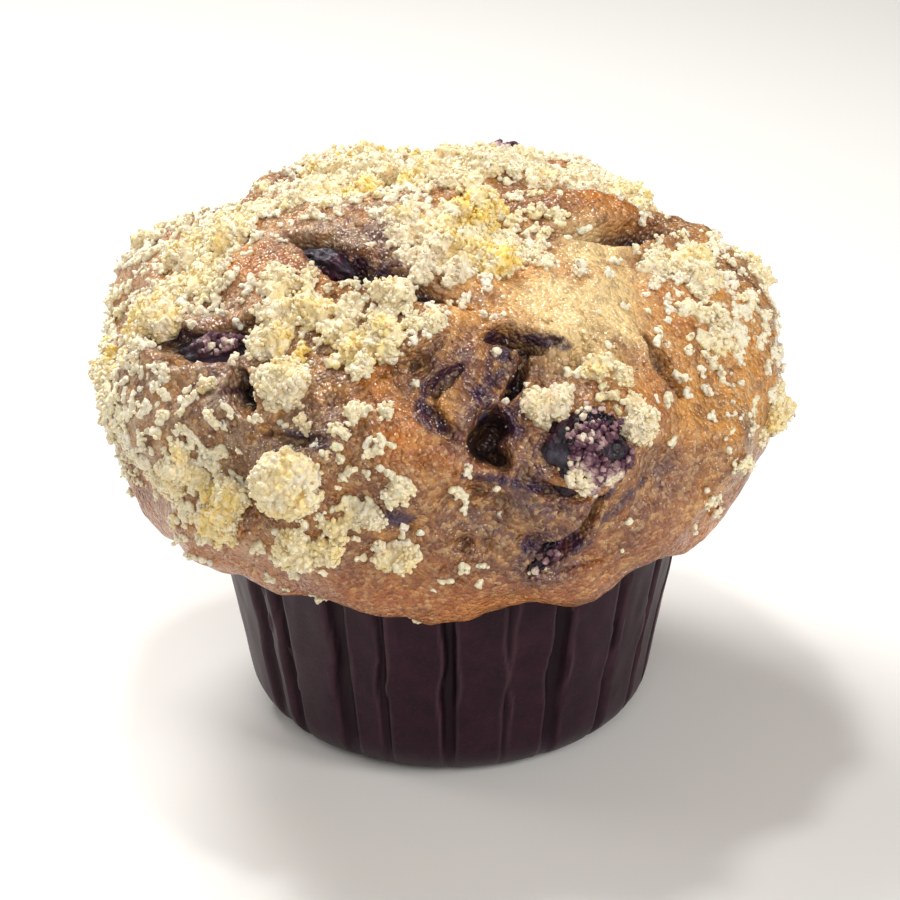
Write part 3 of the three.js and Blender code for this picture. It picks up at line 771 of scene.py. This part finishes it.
def cake_skin():
    """The cap's fine skin, with its hidden underside closed by one flat fan."""
    columns, rows = 900, 420
    neck = CASE_HEIGHT + CLEARANCE
    overhang = CASE_RIM_RADIUS + CLEARANCE
    under = [plain_ring(columns, overhang, z) for z in (neck, LIP_Z + 0.6)]
    rings = np.concatenate([under, cap_rings(columns, rows)])
    points, faces, normals = voxel_skin(*loft(rings), CAKE_VOXEL, CAKE_TRIANGLES)
    radius = np.hypot(points[:, 0], points[:, 1])
    hidden = (radius < overhang - 1) & (np.abs(points[:, 2] - neck) < 0.6)
    kept = faces[~hidden[faces].all(axis=1)]
    ahead = set(map(tuple, sides_of(kept)))
    open_edges = np.array([(b, a) for a, b in ahead if (b, a) not in ahead])
    fan = np.insert(open_edges, 2, len(points), axis=1)
    used, faces = np.unique(np.concatenate([kept, fan]), return_inverse=True)
    points = np.concatenate([points, [[0, 0, neck]]])
    normals = np.concatenate([normals, [[0, 0, -1]]])
    return points[used], faces.reshape(-1, 3), normals[used]


def cake_looks(points, crevice):
    plain, bearing, lift = on_cap(points)
    return {
        "amber": spots(plain, AMBER),
        "russet": spots(plain, RUSSET),
        "gold": spots(plain, GOLD),
        "streak": juice_streaks(plain),
        "cream": spots(plain, CREAM),
        "moist_and_shade": spots(plain, MOIST_AND_SHADE),
        "juice": juice_stain(plain),
        "wax": wax_cover(plain, sugar_cover(plain, bearing, lift)),
        # Painted shade: deep in the cracks, and in the crevices of the skin.
        "hollow_shade": smooth(0.8, 3.6, below_crust(points)),
        "crevice": crevice,
        "belly": smooth(-8, -40, lift),
    }


# ---- The paper case ----
WALL_SLOPE = (CASE_RIM_RADIUS - CASE_CORNER_RADIUS) / CASE_HEIGHT
FILLET_END = math.pi / 2 - math.atan(WALL_SLOPE)
BASE_RADIUS = (CASE_CORNER_RADIUS + WALL_SLOPE * CASE_FILLET
               - CASE_FILLET * math.hypot(1, WALL_SLOPE))


def pleat_panels():
    """The bearings between which each pleat's panel runs, all the way round."""
    roll = dice(5).__next__
    start = FRONT_PANELS[-1][1]
    hidden = 2 * SIDE_PLEATS
    pitch = (360 + FRONT_PANELS[0][0] - start) / (hidden + 1)
    return FRONT_PANELS + [(start + i * pitch + mix(3, 5, roll()), start + (i + 1) * pitch)
                           for i in range(hidden)]


def case_outline():
    """The case's outer outline from the middle of its base to its rim: radius, z, pleat share."""
    outline = [(radius, 0, 0) for radius in np.linspace(2, BASE_RADIUS, 7)[:-1]]
    for share in np.linspace(0, 1, 12):
        angle = FILLET_END * share
        outline.append((BASE_RADIUS + CASE_FILLET * math.sin(angle),
                        CASE_FILLET * (1 - math.cos(angle)), 0.75 * share ** 2))
    for z in np.linspace(CASE_FILLET, CASE_HEIGHT, 22)[1:]:
        share = min(1, 0.75 + 0.25 * (z - CASE_FILLET) / (0.45 * (CASE_HEIGHT - CASE_FILLET)))
        outline.append((CASE_CORNER_RADIUS + WALL_SLOPE * z, z, share))
    return np.array(outline)


def pleat_shape(bearing, z):
    """How far the paper lies inside its ridges, 0 to 1, and how near each point is to a fold. The
    paper's colour paints shade by the first and a highlight by the second.
    """
    panels = pleat_panels()
    rng = np.random.default_rng(71)
    lay = np.zeros_like(bearing)
    fold = np.zeros_like(bearing)
    for (start, end), (following, _) in zip(panels, panels[1:] + [(panels[0][0] + 360, 0)]):
        sways = zip(rng.uniform(0, 40, 2), ((2.9, 1.3), (3.3, 1.5)))
        wander = 0.55 * np.stack([np.sin(z / broad + sway) + 0.6 * np.sin(z / fine + sway)
                                  for sway, (broad, fine) in sways])
        wander *= smooth(3, 12, z)
        tilt = rng.uniform(-0.16, 0.16)
        valley = min((following - end) / 4, 1.15)
        for turn in (-360, 0, 360):
            here = bearing + turn
            low, high = start + wander[0], end + wander[1]
            on_panel = (here >= low) & (here <= high)
            way = (here - low) / (high - low)
            crown = tilt * (2 * way - 1) + 0.05 * np.sin(np.pi * way) + 0.05
            lay = np.where(on_panel, np.maximum(crown, 0), lay)
            in_valley = (here > high) & (here < following + 0.6)
            down = 1 - np.abs(2 * (here - high) / (following - high) - 1)
            lay = np.where(in_valley & ~on_panel, valley * np.clip(1.9 * down, 0, 1) ** 0.8, lay)
            near = np.minimum(np.abs(here - low), np.abs(here - high))
            fold = np.maximum(fold, np.exp(-(near / 0.5) ** 2))
    return lay, fold


def make_case(material):
    """The paper, outside and in, as one skin."""
    columns = 540
    outline = case_outline()
    bearing = np.linspace(0, 360, columns, endpoint=False)
    wall = plain_ring(columns, 1, 0)
    rings, folds, lays = [], [], []
    for side, rows in ((0, outline), (1, outline[::-4])):
        for radius, z, share in rows:
            lay, fold = pleat_shape(bearing, np.full(columns, z))
            inset = PLEAT_DEPTH * lay * share + PAPER * side
            height = max(z, PAPER) if side and z < CASE_HEIGHT else z
            ring = wall * (radius - inset)[:, None] + [0, 0, height]
            crumple = 0.1 * cloud(ring * [1, 1, 0.45], 1.8, 73) + 0.12 * cloud(ring, 6, 74)
            rings.append(ring + wall * (crumple * share * (1 - side))[:, None])
            folds.append(fold * share)
            lays.append(lay * share)
    fold, lay = (np.concatenate([*values, [0, 0]]) for values in (folds, lays))
    # The paper's colour paints shade by how deep each pleat lies, and a highlight along each fold.
    add_piece("pleated_case", *loft(rings), ["paper_case"], "paper", material, fold=fold, lay=lay)


# ---- Materials ----
def linear(hex_colour):
    """An sRGB hex colour as linear RGBA."""
    channels = [int(hex_colour[i:i + 2], 16) / 255 for i in (1, 3, 5)]
    return [c / 12.92 if c <= 0.04045 else ((c + 0.055) / 1.055) ** 2.4 for c in channels] + [1]


def per(millimetres):
    """The scale at which a texture repeats every so many millimetres."""
    return 1 / (millimetres * MM)


def wire(tree, node, sockets):
    """Sets a node's sockets to numbers or colours, or links them to other nodes' outputs."""
    for name, value in sockets.items():
        if isinstance(value, bpy.types.NodeSocket):
            tree.links.new(value, node.inputs[name])
        else:
            node.inputs[name].default_value = value


def add(tree, kind, sockets=None, **settings):
    """Adds a node, such as Bump for ShaderNodeBump, with its settings and links. Gives its outputs."""
    made = tree.nodes.new("ShaderNode" + kind)
    for name, value in settings.items():
        setattr(made, name, value)
    wire(tree, made, sockets or {})
    return made.outputs


def new_material(name):
    """A material, its tree of nodes, and where each point lies on its object."""
    material = bpy.data.materials.new(name)
    material.use_nodes = True
    tree = material.node_tree
    return material, tree, add(tree, "TexCoord")["Object"]


def finished(material, sockets):
    """The material, once its shader's sockets are set or linked."""
    wire(material.node_tree, material.node_tree.nodes["Principled BSDF"], sockets)
    return material


def painted(tree, colour, coats):
    """A colour under coats of others. Each coat is where it lies, the pattern it follows, the
    pattern's values from which and up to which it grows, how thick it gets, and its shade. A word
    stands for the numbers of that name that the piece's points carry."""
    for *guides, low, high, most, shade in coats:
        mask, pattern = (add(tree, "Attribute", attribute_name=guide)["Fac"]
                         if isinstance(guide, str) else guide for guide in guides)
        grows = {"Value": pattern, "From Min": low, "From Max": high, "To Max": most}
        share = {0: add(tree, "MapRange", grows)[0], 1: mask}
        blend = {0: add(tree, "Math", share, operation="MULTIPLY")[0], 6: colour, 7: linear(shade)}
        colour = add(tree, "Mix", blend, data_type="RGBA")[2]
    return colour


def baked_cake():
    """Muffin cake baked in a fan oven: a golden crust like fine wet sand, darker where it stands out
    and moist in places, with juice that seeped out round the berries, and with painted shade in
    its crevices, deep in its cracks and between the streusel clumps."""
    material, tree, where = new_material("baked_muffin_cake")
    broad, patch, mottle = (
        add(tree, "TexNoise",
            {"Vector": where, "Scale": per(size), "Detail": detail, "Roughness": 0.6})["Fac"]
        for size, detail in ((14, 2), (5.5, 3), (1.5, 3)))
    sand, coarse, specks = (add(tree, "TexVoronoi", {"Vector": where, "Scale": per(size)})
                            for size in (0.55, 1.2, 5))
    base = {0: broad, 6: linear("#b27234"), 7: linear("#965425")}
    colour = painted(tree, add(tree, "Mix", base, data_type="RGBA")[2], [
        (1, patch, 0.5, 0.66, 0.75, "#6c381a"),
        (1, patch, 0.46, 0.34, 0.6, "#c88a44"),
        ("belly", patch, 0.25, 0.65, 0.9, "#a85729"),
        ("gold", patch, 0.75, 0.4, 0.9, "#e59c42"),
        ("russet", patch, 0.3, 0.6, 0.85, "#6c3413"),
        # Moist crust, and painted shade between the streusel clumps.
        ("moist_and_shade", mottle, 0.2, 0.6, 0.7, "#68452a"),
        ("amber", patch, 0.3, 0.55, 0.9, "#d67a16"),
        ("cream", patch, 0.8, 0.5, 0.95, "#f6d698"),
        ("juice", patch, 0.36, 0.54, 0.8, "#54343e"),
        # Painted shade in the crust's crevices.
        ("crevice", 1, 0, 1, 0.55, "#40200f"),
        ("wax", mottle, 0.25, 0.55, 0.45, "#dfc6a0"),
        (1, mottle, 0.52, 0.66, 0.4, "#5e3116"),
        (1, mottle, 0.46, 0.34, 0.3, "#e0a95e"),
        (1, sand["Color"], 0.55, 1, 0.4, "#eecb90"),
        (1, sand["Color"], 0.45, 0, 0.4, "#502b15"),
        (1, specks["Distance"], 0.045, 0.03, 0.9, "#2a1a17"),
        ("streak", mottle, 0.25, 0.5, 0.92, "#341434"),
        # Painted shade deep in the cracks and hollows.
        ("hollow_shade", mottle, 0.1, 0.4, 0.9, "#241618"),
    ])
    rough = add(tree, "MapRange", {"Value": mottle, "From Min": 0.35, "From Max": 0.65,
                                   "To Min": 0.2, "To Max": 0.42})[0]
    under = {}
    for height, millimetres, strength, inwards in (
            (mottle, 0.6, 0.8, False), (coarse["Distance"], 0.3, 0.5, True),
            (sand["Distance"], 0.3, 1, True)):
        bump = {"Height": height, "Distance": millimetres * MM, "Strength": strength, **under}
        under = {"Normal": add(tree, "Bump", bump, invert=inwards)[0]}
    return finished(material, {
        "Base Color": colour, "Roughness": rough, **under, "Coat Normal": under["Normal"],
        "IOR": 1.5, "Coat Weight": 0.4, "Coat Roughness": 0.14, "Subsurface Weight": 0.1,
        "Subsurface Radius": (1.0, 0.6, 0.3), "Subsurface Scale": 0.8 * MM,
    })


def butter_streusel(name, glow):
    """Butter, sugar and flour rubbed to crumbs and baked: cream outside, jagged and nearly matt,
    with butter yellow painted shade in its hollows and between its granules, and brown painted
    shade in the hollows of melted crumbs. glow is how much light comes through it."""
    material, tree, where = new_material(name)
    patch, grain = (
        add(tree, "TexNoise", {"Vector": where, "Scale": per(size), "Detail": detail})["Fac"]
        for size, detail in ((3, 3), (0.5, 2)))
    granules = add(tree, "TexVoronoi", {"Vector": where, "Scale": per(0.8)})
    base = {0: patch, 6: linear("#f6ecd2"), 7: linear("#f2dfae")}
    colour = painted(tree, add(tree, "Mix", base, data_type="RGBA")[2], [
        ("butter", patch, 0.36, 0.56, 0.95, "#f9d45a"),
        (1, granules["Color"], 0.55, 1, 0.5, "#fdf8ee"),
        # Painted shade in the creases between the granules that the bump raises.
        (1, granules["Distance"], 0.4, 0.8, 0.3, "#ecd08c"),
        (1, grain, 0.56, 0.68, 0.4, "#fdf8ee"),
        # Butter yellow painted shade in the crevices.
        ("crevice", 1, 0, 1, 0.55, "#e0a444"),
        ("melt", patch, 0.2, 0.6, 0.8, "#f9f0df"),
        # Brown painted shade in the crevices of melted crumbs.
        ("melt", "crevice", 0, 0.8, 0.5, "#bd8348"),
        (1, "juice", 0, 0.5, 0.6, "#c7b2a8"),
        (1, "juice", 0.4, 0.7, 0.8, "#a2707e"),
        (1, "juice", 0.65, 0.95, 0.9, "#471a33"),
    ])
    lumps = {"Height": granules["Distance"], "Distance": 0.4 * MM, "Strength": 1}
    lumpy = add(tree, "Bump", lumps, invert=True)[0]
    fine = add(tree, "Bump",
               {"Height": grain, "Distance": 0.2 * MM, "Strength": 0.8, "Normal": lumpy})[0]
    return finished(material, {
        "Base Color": colour, "Normal": fine, "Roughness": 0.45, "IOR": 1.45,
        "Subsurface Weight": glow, "Subsurface Radius": (1.0, 0.75, 0.35),
        "Subsurface Scale": 1.0 * MM,
    })


def caster_sugar():
    """Fine sugar crystals that didn't melt: clear, colourless cubes, so they show as glints."""
    material, tree, where = new_material("caster_sugar")
    cloudy = add(tree, "TexNoise", {"Vector": where, "Scale": per(0.4)})["Fac"]
    colour = painted(tree, linear("#fbf3e4"), [(1, cloudy, 0.4, 0.6, 0.5, "#e6cfa8")])
    return finished(material, {
        "Base Color": colour, "Roughness": 0.12, "IOR": 1.55, "Transmission Weight": 0.35})


def baked_berry():
    """A berry burst and dried in the oven: nearly black skin, wet and shiny, with wine red where
    it is thin and a grey bloom left in places."""
    material, tree, where = new_material("baked_berry_skin")
    patch, bloom = (
        add(tree, "TexNoise", {"Vector": where, "Scale": per(size), "Detail": detail})["Fac"]
        for size, detail in ((1.6, 5), (3.5, 3)))
    colour = painted(tree, linear("#1a0e18"), [
        (1, patch, 0.5, 0.68, 0.75, "#541d38"),
        (1, bloom, 0.5, 0.66, 0.45, "#565060"),
    ])
    rough = add(tree, "MapRange", {"Value": bloom, "From Min": 0.45, "From Max": 0.6,
                                   "To Min": 0.22, "To Max": 0.5})[0]
    wrinkles = add(tree, "Bump", {"Height": patch, "Distance": 0.8 * MM, "Strength": 1})[0]
    return finished(material, {
        "Base Color": colour, "Roughness": rough, "Normal": wrinkles, "IOR": 1.4})


def baking_paper():
    """Dark brown greaseproof paper, pressed into pleats: satin, faintly mottled by its fibres,
    with painted shade deep in the pleats' valleys and a thin painted highlight along each fold."""
    material, tree, where = new_material("brown_greaseproof_paper")
    mottle = add(tree, "TexNoise",
                 {"Vector": where, "Scale": per(3.5), "Detail": 6, "Roughness": 0.65})["Fac"]
    fibres = add(tree, "TexNoise",
                 {"Vector": where, "Scale": per(0.45), "Detail": 3, "Distortion": 0.6})["Fac"]
    colour = painted(tree, linear("#1a0c14"), [
        (1, mottle, 0.35, 0.68, 1, "#2e1522"),
        (1, fibres, 0.55, 0.75, 0.35, "#402629"),
        # Painted shade deep in the pleats' valleys.
        ("lay", 1, 0, 1, 0.8, "#0d0709"),
        # A thin painted highlight along each fold.
        ("fold", 1, 0, 1, 0.4, "#573f46"),
    ])
    bump = add(tree, "Bump", {"Height": fibres, "Distance": 0.1 * MM, "Strength": 0.35})[0]
    return finished(material, {
        "Base Color": colour, "Normal": bump, "Roughness": 0.45, "IOR": 1.38,
        "Specular Tint": linear("#e4c2d0")})


def studio_floor():
    """Smooth matt board, pale and plain, with the faintest tooth."""
    material, tree, where = new_material("pale_matt_board")
    tooth = add(tree, "TexNoise", {"Vector": where, "Scale": per(2)})["Fac"]
    bump = add(tree, "Bump", {"Height": tooth, "Distance": 0.05 * MM, "Strength": 0.2})[0]
    return finished(material, {
        "Base Color": linear("#e9e7e2"), "Roughness": 0.8, "Normal": bump})


# ---- The cap and what lies on it ----
def make_cake(material):
    """The cap and the stem. Gives the cap's ground, which is its points, normals and areas, and its
    looks to what lies on it."""
    points, faces, normals = cake_skin()
    crevice = crevices(points, faces, normals)
    points = points + normals * (0.08 * cloud(points, 0.9, 81))[:, None]
    looks = cake_looks(points, crevice)
    add_piece("cake_cap", points, faces, ["cake"], "cake", material, **looks)
    inset = 1.15 * PLEAT_DEPTH + PAPER + CLEARANCE
    stem = [plain_ring(96, BASE_RADIUS - 2, PAPER + CLEARANCE)]
    for z in (CASE_FILLET, CASE_HEIGHT + CLEARANCE):
        stem.append(plain_ring(96, CASE_CORNER_RADIUS + WALL_SLOPE * z - inset, z))
    add_piece("cake_stem", *loft(stem), ["cake"], "cake", material,
              **{look: float(look == "belly") for look in looks})
    return (points, normals, areas(points, faces)), looks


def make_torn_crumbs(material, ground, looks):
    """Crumbs of cake left standing on the torn walls and rims of the cracks."""
    torn = smooth(0.05, 0.3, looks["hollow_shade"]) * smooth(0.9, 0.4, looks["hollow_shade"])
    torn = torn + 0.25 * looks["moist_and_shade"] + 0.01
    crumbs = grown(ground, torn, count=620, granules=5, hearts=2, sizes=(0.22, 0.5), climb=0.2,
                   sunk=0.6, luck=89)
    points, faces, _, crevice = streusel_skin([crumbs], STREUSEL_VOXEL, TORN_TRIANGLES, 90)
    near = nearest(points, ground[0])
    looks = {look: values[near] for look, values in looks.items()}
    # Painted shade of the crumbs' own crevices, or of the crust's below them where that is deeper.
    looks["crevice"] = np.maximum(crevice, looks["crevice"])
    # The crumbs carry less painted shade of the cracks' depths than the crust under them.
    looks["hollow_shade"] = 0.7 * looks["hollow_shade"]
    add_piece("torn_crumbs", points, faces, ["cake"], "cake", material, **looks)


def add_streusel(name, node, skin, material, stand, juice, butter, melt=0):
    """A piece of streusel, by how stained, yellow and melted it is. Gives its ground, how thickly
    granules stand on it, and its looks."""
    points, faces, normals, crevice = skin
    # The painted shade of the skin's crevices goes along with the other looks.
    looks = {"butter": butter, "juice": juice * juice_stain(points), "crevice": crevice, "melt": melt}
    looks = {look: np.clip(values + 0 * crevice, 0, 1) for look, values in looks.items()}
    add_piece(name, points, faces, [node], "streusel", material, **looks)
    return points, normals, areas(points, faces), np.full(len(points), stand), looks


def make_lumps(material):
    """Each large lump of streusel. One is all sand, the others fat granules."""
    rng = np.random.default_rng(91)
    for name, (place, half, turn, fat, butter) in LUMPS.items():
        granule, stand = (0.3, 0.35) if fat > 20 else (0.42, 1)
        granules = clump(place, turn, np.array(half), fat, granule, rng)
        skin = streusel_skin([granules], LUMP_VOXEL, LUMP_TRIANGLES, 92)
        yellow = butter + 0.4 * cloud(skin[0], 2.5, 93)
        yield add_streusel(name + "_streusel", name, skin, material, stand, 0.3, yellow)


def make_crumbs(material, ground):
    """The crumbs that the solids hold, and between them smaller ones that fill the drifts."""
    rng = np.random.default_rng(94)
    clumps = [clump(place, spin, size * np.array([1, 0.85, 0.8]), int(2 + 2 * size), 0.4, rng)
              for place, size, spin in crumb_seats()]
    plain, _, lift = on_cap(ground[0])
    drift = sum(count / reach * spot(plain, place, reach) ** 2
                for *place, reach, count, _, _ in DRIFTS)
    bare = spots(plain, [(*place, 1.1 * half[0]) for place, half, *_ in BERRIES.values()])
    bare = np.maximum(bare, np.clip(spots(plain, FOLDED) + spots(plain, RUSSET[:3]), 0, 1))
    chance = (np.clip(drift, 0, 1) + 0.006) * (1 - bare) * smooth(-35, -10, lift)
    chance = chance * smooth(-0.35, 0.15, cloud(plain, 2.6, 105)) + spots(plain, FILLED)
    clumps.append(grown(ground, chance, count=760, granules=9, hearts=2, sizes=(0.28, 0.68),
                        climb=0.35, sunk=0.35, luck=rng))
    skin = streusel_skin(clumps, STREUSEL_VOXEL, CRUMB_TRIANGLES, 95)
    yellow = 0.3 + 0.8 * cloud(skin[0], 9, 96) + 0.3 * cloud(skin[0], 3, 97)
    return add_streusel("streusel_crumbs", "cake", skin, material, 1, 0.2, yellow)


def make_melted_crumbs(material, ground, looks):
    """Fine crumbs that sank half into the sugared crust as they baked."""
    plain, bearing, lift = on_cap(ground[0])
    sugar = sugar_cover(plain, bearing, lift)
    chance = (sugar ** 1.3 + 0.03) * smooth(-55, -30, lift) * (1 - 0.8 * looks["hollow_shade"])
    chance = chance * smooth(-0.7, 0.3, cloud(plain, 3, 101)) * (1 - 0.85 * looks["juice"])
    chance = chance * (1 - 0.5 * smooth(0, -25, lift)) + spots(plain, LIP_CRUMBS)
    crumbs = grown(ground, chance, count=2900, granules=5, hearts=1, sizes=(0.24, 0.62),
                   climb=0.15, sunk=0.35, luck=99)
    skin = streusel_skin([crumbs], STREUSEL_VOXEL, MELTED_TRIANGLES, 98)
    melt = 0.55 + 0.6 * cloud(skin[0], 4, 102)
    return add_streusel("melted_crumbs", "cake", skin, material, 0.8, 0.25, 0.15, melt)


def make_granules(material, skins):
    """The granules of sugar and flour that stand out of all the streusel."""
    *skin, looks = zip(*skins)
    points, normals, area, stand = map(np.concatenate, skin)
    looks = {look: np.concatenate([each[look] for each in looks]) for look in looks[0]}
    open_air = smooth(0.2, -0.6, below_crust(points)) * (1 - 0.8 * looks["crevice"])
    (points, faces), places = strewn((points, normals, area), open_air * stand, count=9000,
                                     sizes=(0.18, 0.42), sunk=0.5, shape=unit_ball(1),
                                     uneven=0.18, luck=104)
    looks = {look: values[places] for look, values in looks.items()}
    # The granules carry less of the painted shade of the crevices.
    looks["crevice"] = 0.6 * looks["crevice"]
    add_piece("streusel_granules", points, faces, ["cake"], "streusel", material, **looks)


def make_sugar(material, ground, looks):
    """Crystals that lie loose on the sugared crust."""
    plain, bearing, lift = on_cap(ground[0])
    chance = (sugar_cover(plain, bearing, lift) + 0.4) * smooth(-30, 10, lift)
    chance = chance * smooth(-0.2, 0.6, cloud(ground[0], 6, 103)) * (1 - looks["hollow_shade"])
    crystals, _ = strewn(ground, chance, count=5000, sizes=(0.07, 0.16), sunk=0.6, shape=cube(),
                         uneven=0.05, luck=100)
    add_piece("sugar_crystals", *crystals, ["cake"], "streusel", material)


# ---- Berries ----
def berry_skin(half, drupelets, seed):
    """A baked berry in its own frame: burst drupelets, or one wrinkled skin."""
    points, faces = unit_ball(6 if half[1] > 5.2 else 5)
    if drupelets:
        count = int(1.6 * np.prod(half) ** (2 / 3)) + 50
        buds = unit(sphere_spots(count)
                    + 0.13 * np.random.default_rng(seed).standard_normal((count, 3)))
        apart = np.arccos(np.clip((points @ buds.T).max(axis=1), -1, 1))
        swell = 0.84 + 0.12 * np.sqrt(np.clip(1 - (apart * math.sqrt(count) / 2.1) ** 2, 0, 1))
        swell += 0.07 * cloud(points, 0.6, seed) + 0.03 * cloud(points, 0.2, seed + 1)
    else:
        swell = 0.88 - 0.2 * np.abs(cloud(points * [1, 2.2, 2.2], 0.55, seed))
        swell += 0.08 * cloud(points, 0.25, seed + 1)
    return points * swell[:, None] * np.array(half), faces


def make_berries(material, sugar_material):
    """The berries, and the stained sugar that stuck to the open ones."""
    skins = []
    for seed, (name, (place, half, turn, sunk, drupelets)) in enumerate(BERRIES.items(), 110):
        middle, axes = seat(place, turn, sunk)
        local, faces = berry_skin(half, drupelets, seed)
        points = middle + local @ axes
        add_piece(name + "_fruit", points, faces, [name], "berry", material)
        normals = unit((local / np.array(half) ** 2) @ axes)
        sugared = np.full(len(points), 1.0 if drupelets else 0.25)
        skins.append((points, normals, areas(points, faces), sugared))
    points, normals, area, chance = map(np.concatenate, zip(*skins))
    chance = chance * smooth(-0.4, 0.25, cloud(points, 2.2, 118) - 0.5 * normals[:, 2] + 0.25)
    chance = chance * (1 - spot(points, (26, 20), 4.2)) * smooth(0.4, -0.4, below_crust(points))
    chance = chance + 2 * spot(points, (168, 56), 6)
    rng = np.random.default_rng(119)
    ball, count = unit_ball(1), 1800
    (points, faces), places = strewn((points, normals, area), chance, count, sizes=(0.2, 0.6),
                                     sunk=0.5, shape=ball, uneven=0.14, luck=rng)
    each = np.repeat(rng.uniform(-0.4, 0.4, count), len(ball[0]))
    stain = 0.74 + 0.9 * cloud(points, 1.6, 121) + 0.3 * normals[places, 2] + each
    stain = np.clip(stain * (1 - spots(points, WHITE_SUGAR)), 0, 1)
    add_piece("stained_sugar", points, faces, ["cake"], "streusel", sugar_material, butter=0,
              juice=stain, melt=0, crevice=0)


# ---- The studio ----
VIEW_DISTANCE = 450
VIEW_LIFT = 25
VIEW_HEIGHT = 32.7
VIEW_RAISE = 2.74
SENSOR_WIDTH = 36
LENS_WIDTH_SHARE = 3370 / 900

LIGHTS_AIM = Vector((0, 0, 45))

# Each softbox: its place, its width and height, and its watts.
SOFTBOXES = {
    "overhead": ((-190, 260, 470), (220, 180), 2.7),
    "front_fill": ((60, -560, 400), (380, 300), 1.6),
    "right_fill": ((460, -300, 330), (240, 240), 1.75),
    "left_edge": ((-480, 120, 220), (200, 280), 0.8),
    "sparkle": ((-60, 60, 520), (50, 50), 0.7),
}


def make_camera():
    lens = bpy.data.cameras.new("camera")
    lens.sensor_width = SENSOR_WIDTH
    lens.lens = SENSOR_WIDTH * LENS_WIDTH_SHARE
    camera = new_object("camera", lens)
    lift = math.radians(VIEW_LIFT)
    back = Vector((0, -math.cos(lift), math.sin(lift)))
    up = Vector((0, math.sin(lift), math.cos(lift)))
    camera.location = (Vector((0, 0, VIEW_HEIGHT)) + back * VIEW_DISTANCE + up * VIEW_RAISE) * MM
    camera.rotation_euler = (math.pi / 2 - lift, 0, 0)
    bpy.context.scene.camera = camera


def make_studio():
    floor = new_object("floor", new_mesh("floor", *loft([plain_ring(64, 1500, z) for z in (-4, 0)])))
    floor.data.materials.append(studio_floor())
    floor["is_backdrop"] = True
    for name, (place, size, watts) in SOFTBOXES.items():
        lamp = bpy.data.lights.new(name, "AREA")
        lamp.shape = "RECTANGLE"
        lamp.size, lamp.size_y = (side * MM for side in size)
        lamp.energy = watts
        box = new_object(name, lamp)
        box.location = Vector(place) * MM
        box.rotation_euler = (LIGHTS_AIM * MM - box.location).to_track_quat("-Z", "Y").to_euler()
    world = bpy.data.worlds.new("studio")
    world.use_nodes = True
    wire(world.node_tree, world.node_tree.nodes["Background"],
         {"Color": linear("#f8f1e6"), "Strength": 0.14})
    bpy.context.scene.world = world


bpy.context.scene.view_settings.view_transform = "Standard"
make_camera()
make_studio()
cake, streusel = baked_cake(), butter_streusel("butter_streusel", 0.35)
ground, looks = make_cake(cake)
make_torn_crumbs(cake, ground, looks)
skins = [*make_lumps(streusel), make_crumbs(streusel, ground),
         make_melted_crumbs(streusel, ground, looks)]
granules = butter_streusel("sugar_and_flour_granules", 0)
make_granules(granules, skins)
make_sugar(caster_sugar(), ground, looks)
make_berries(baked_berry(), granules)
make_case(baking_paper())

boxes = {"cad": CAD_BOX, "visual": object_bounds()}
{name: [list(corner) for corner in box] for name, box in boxes.items()}
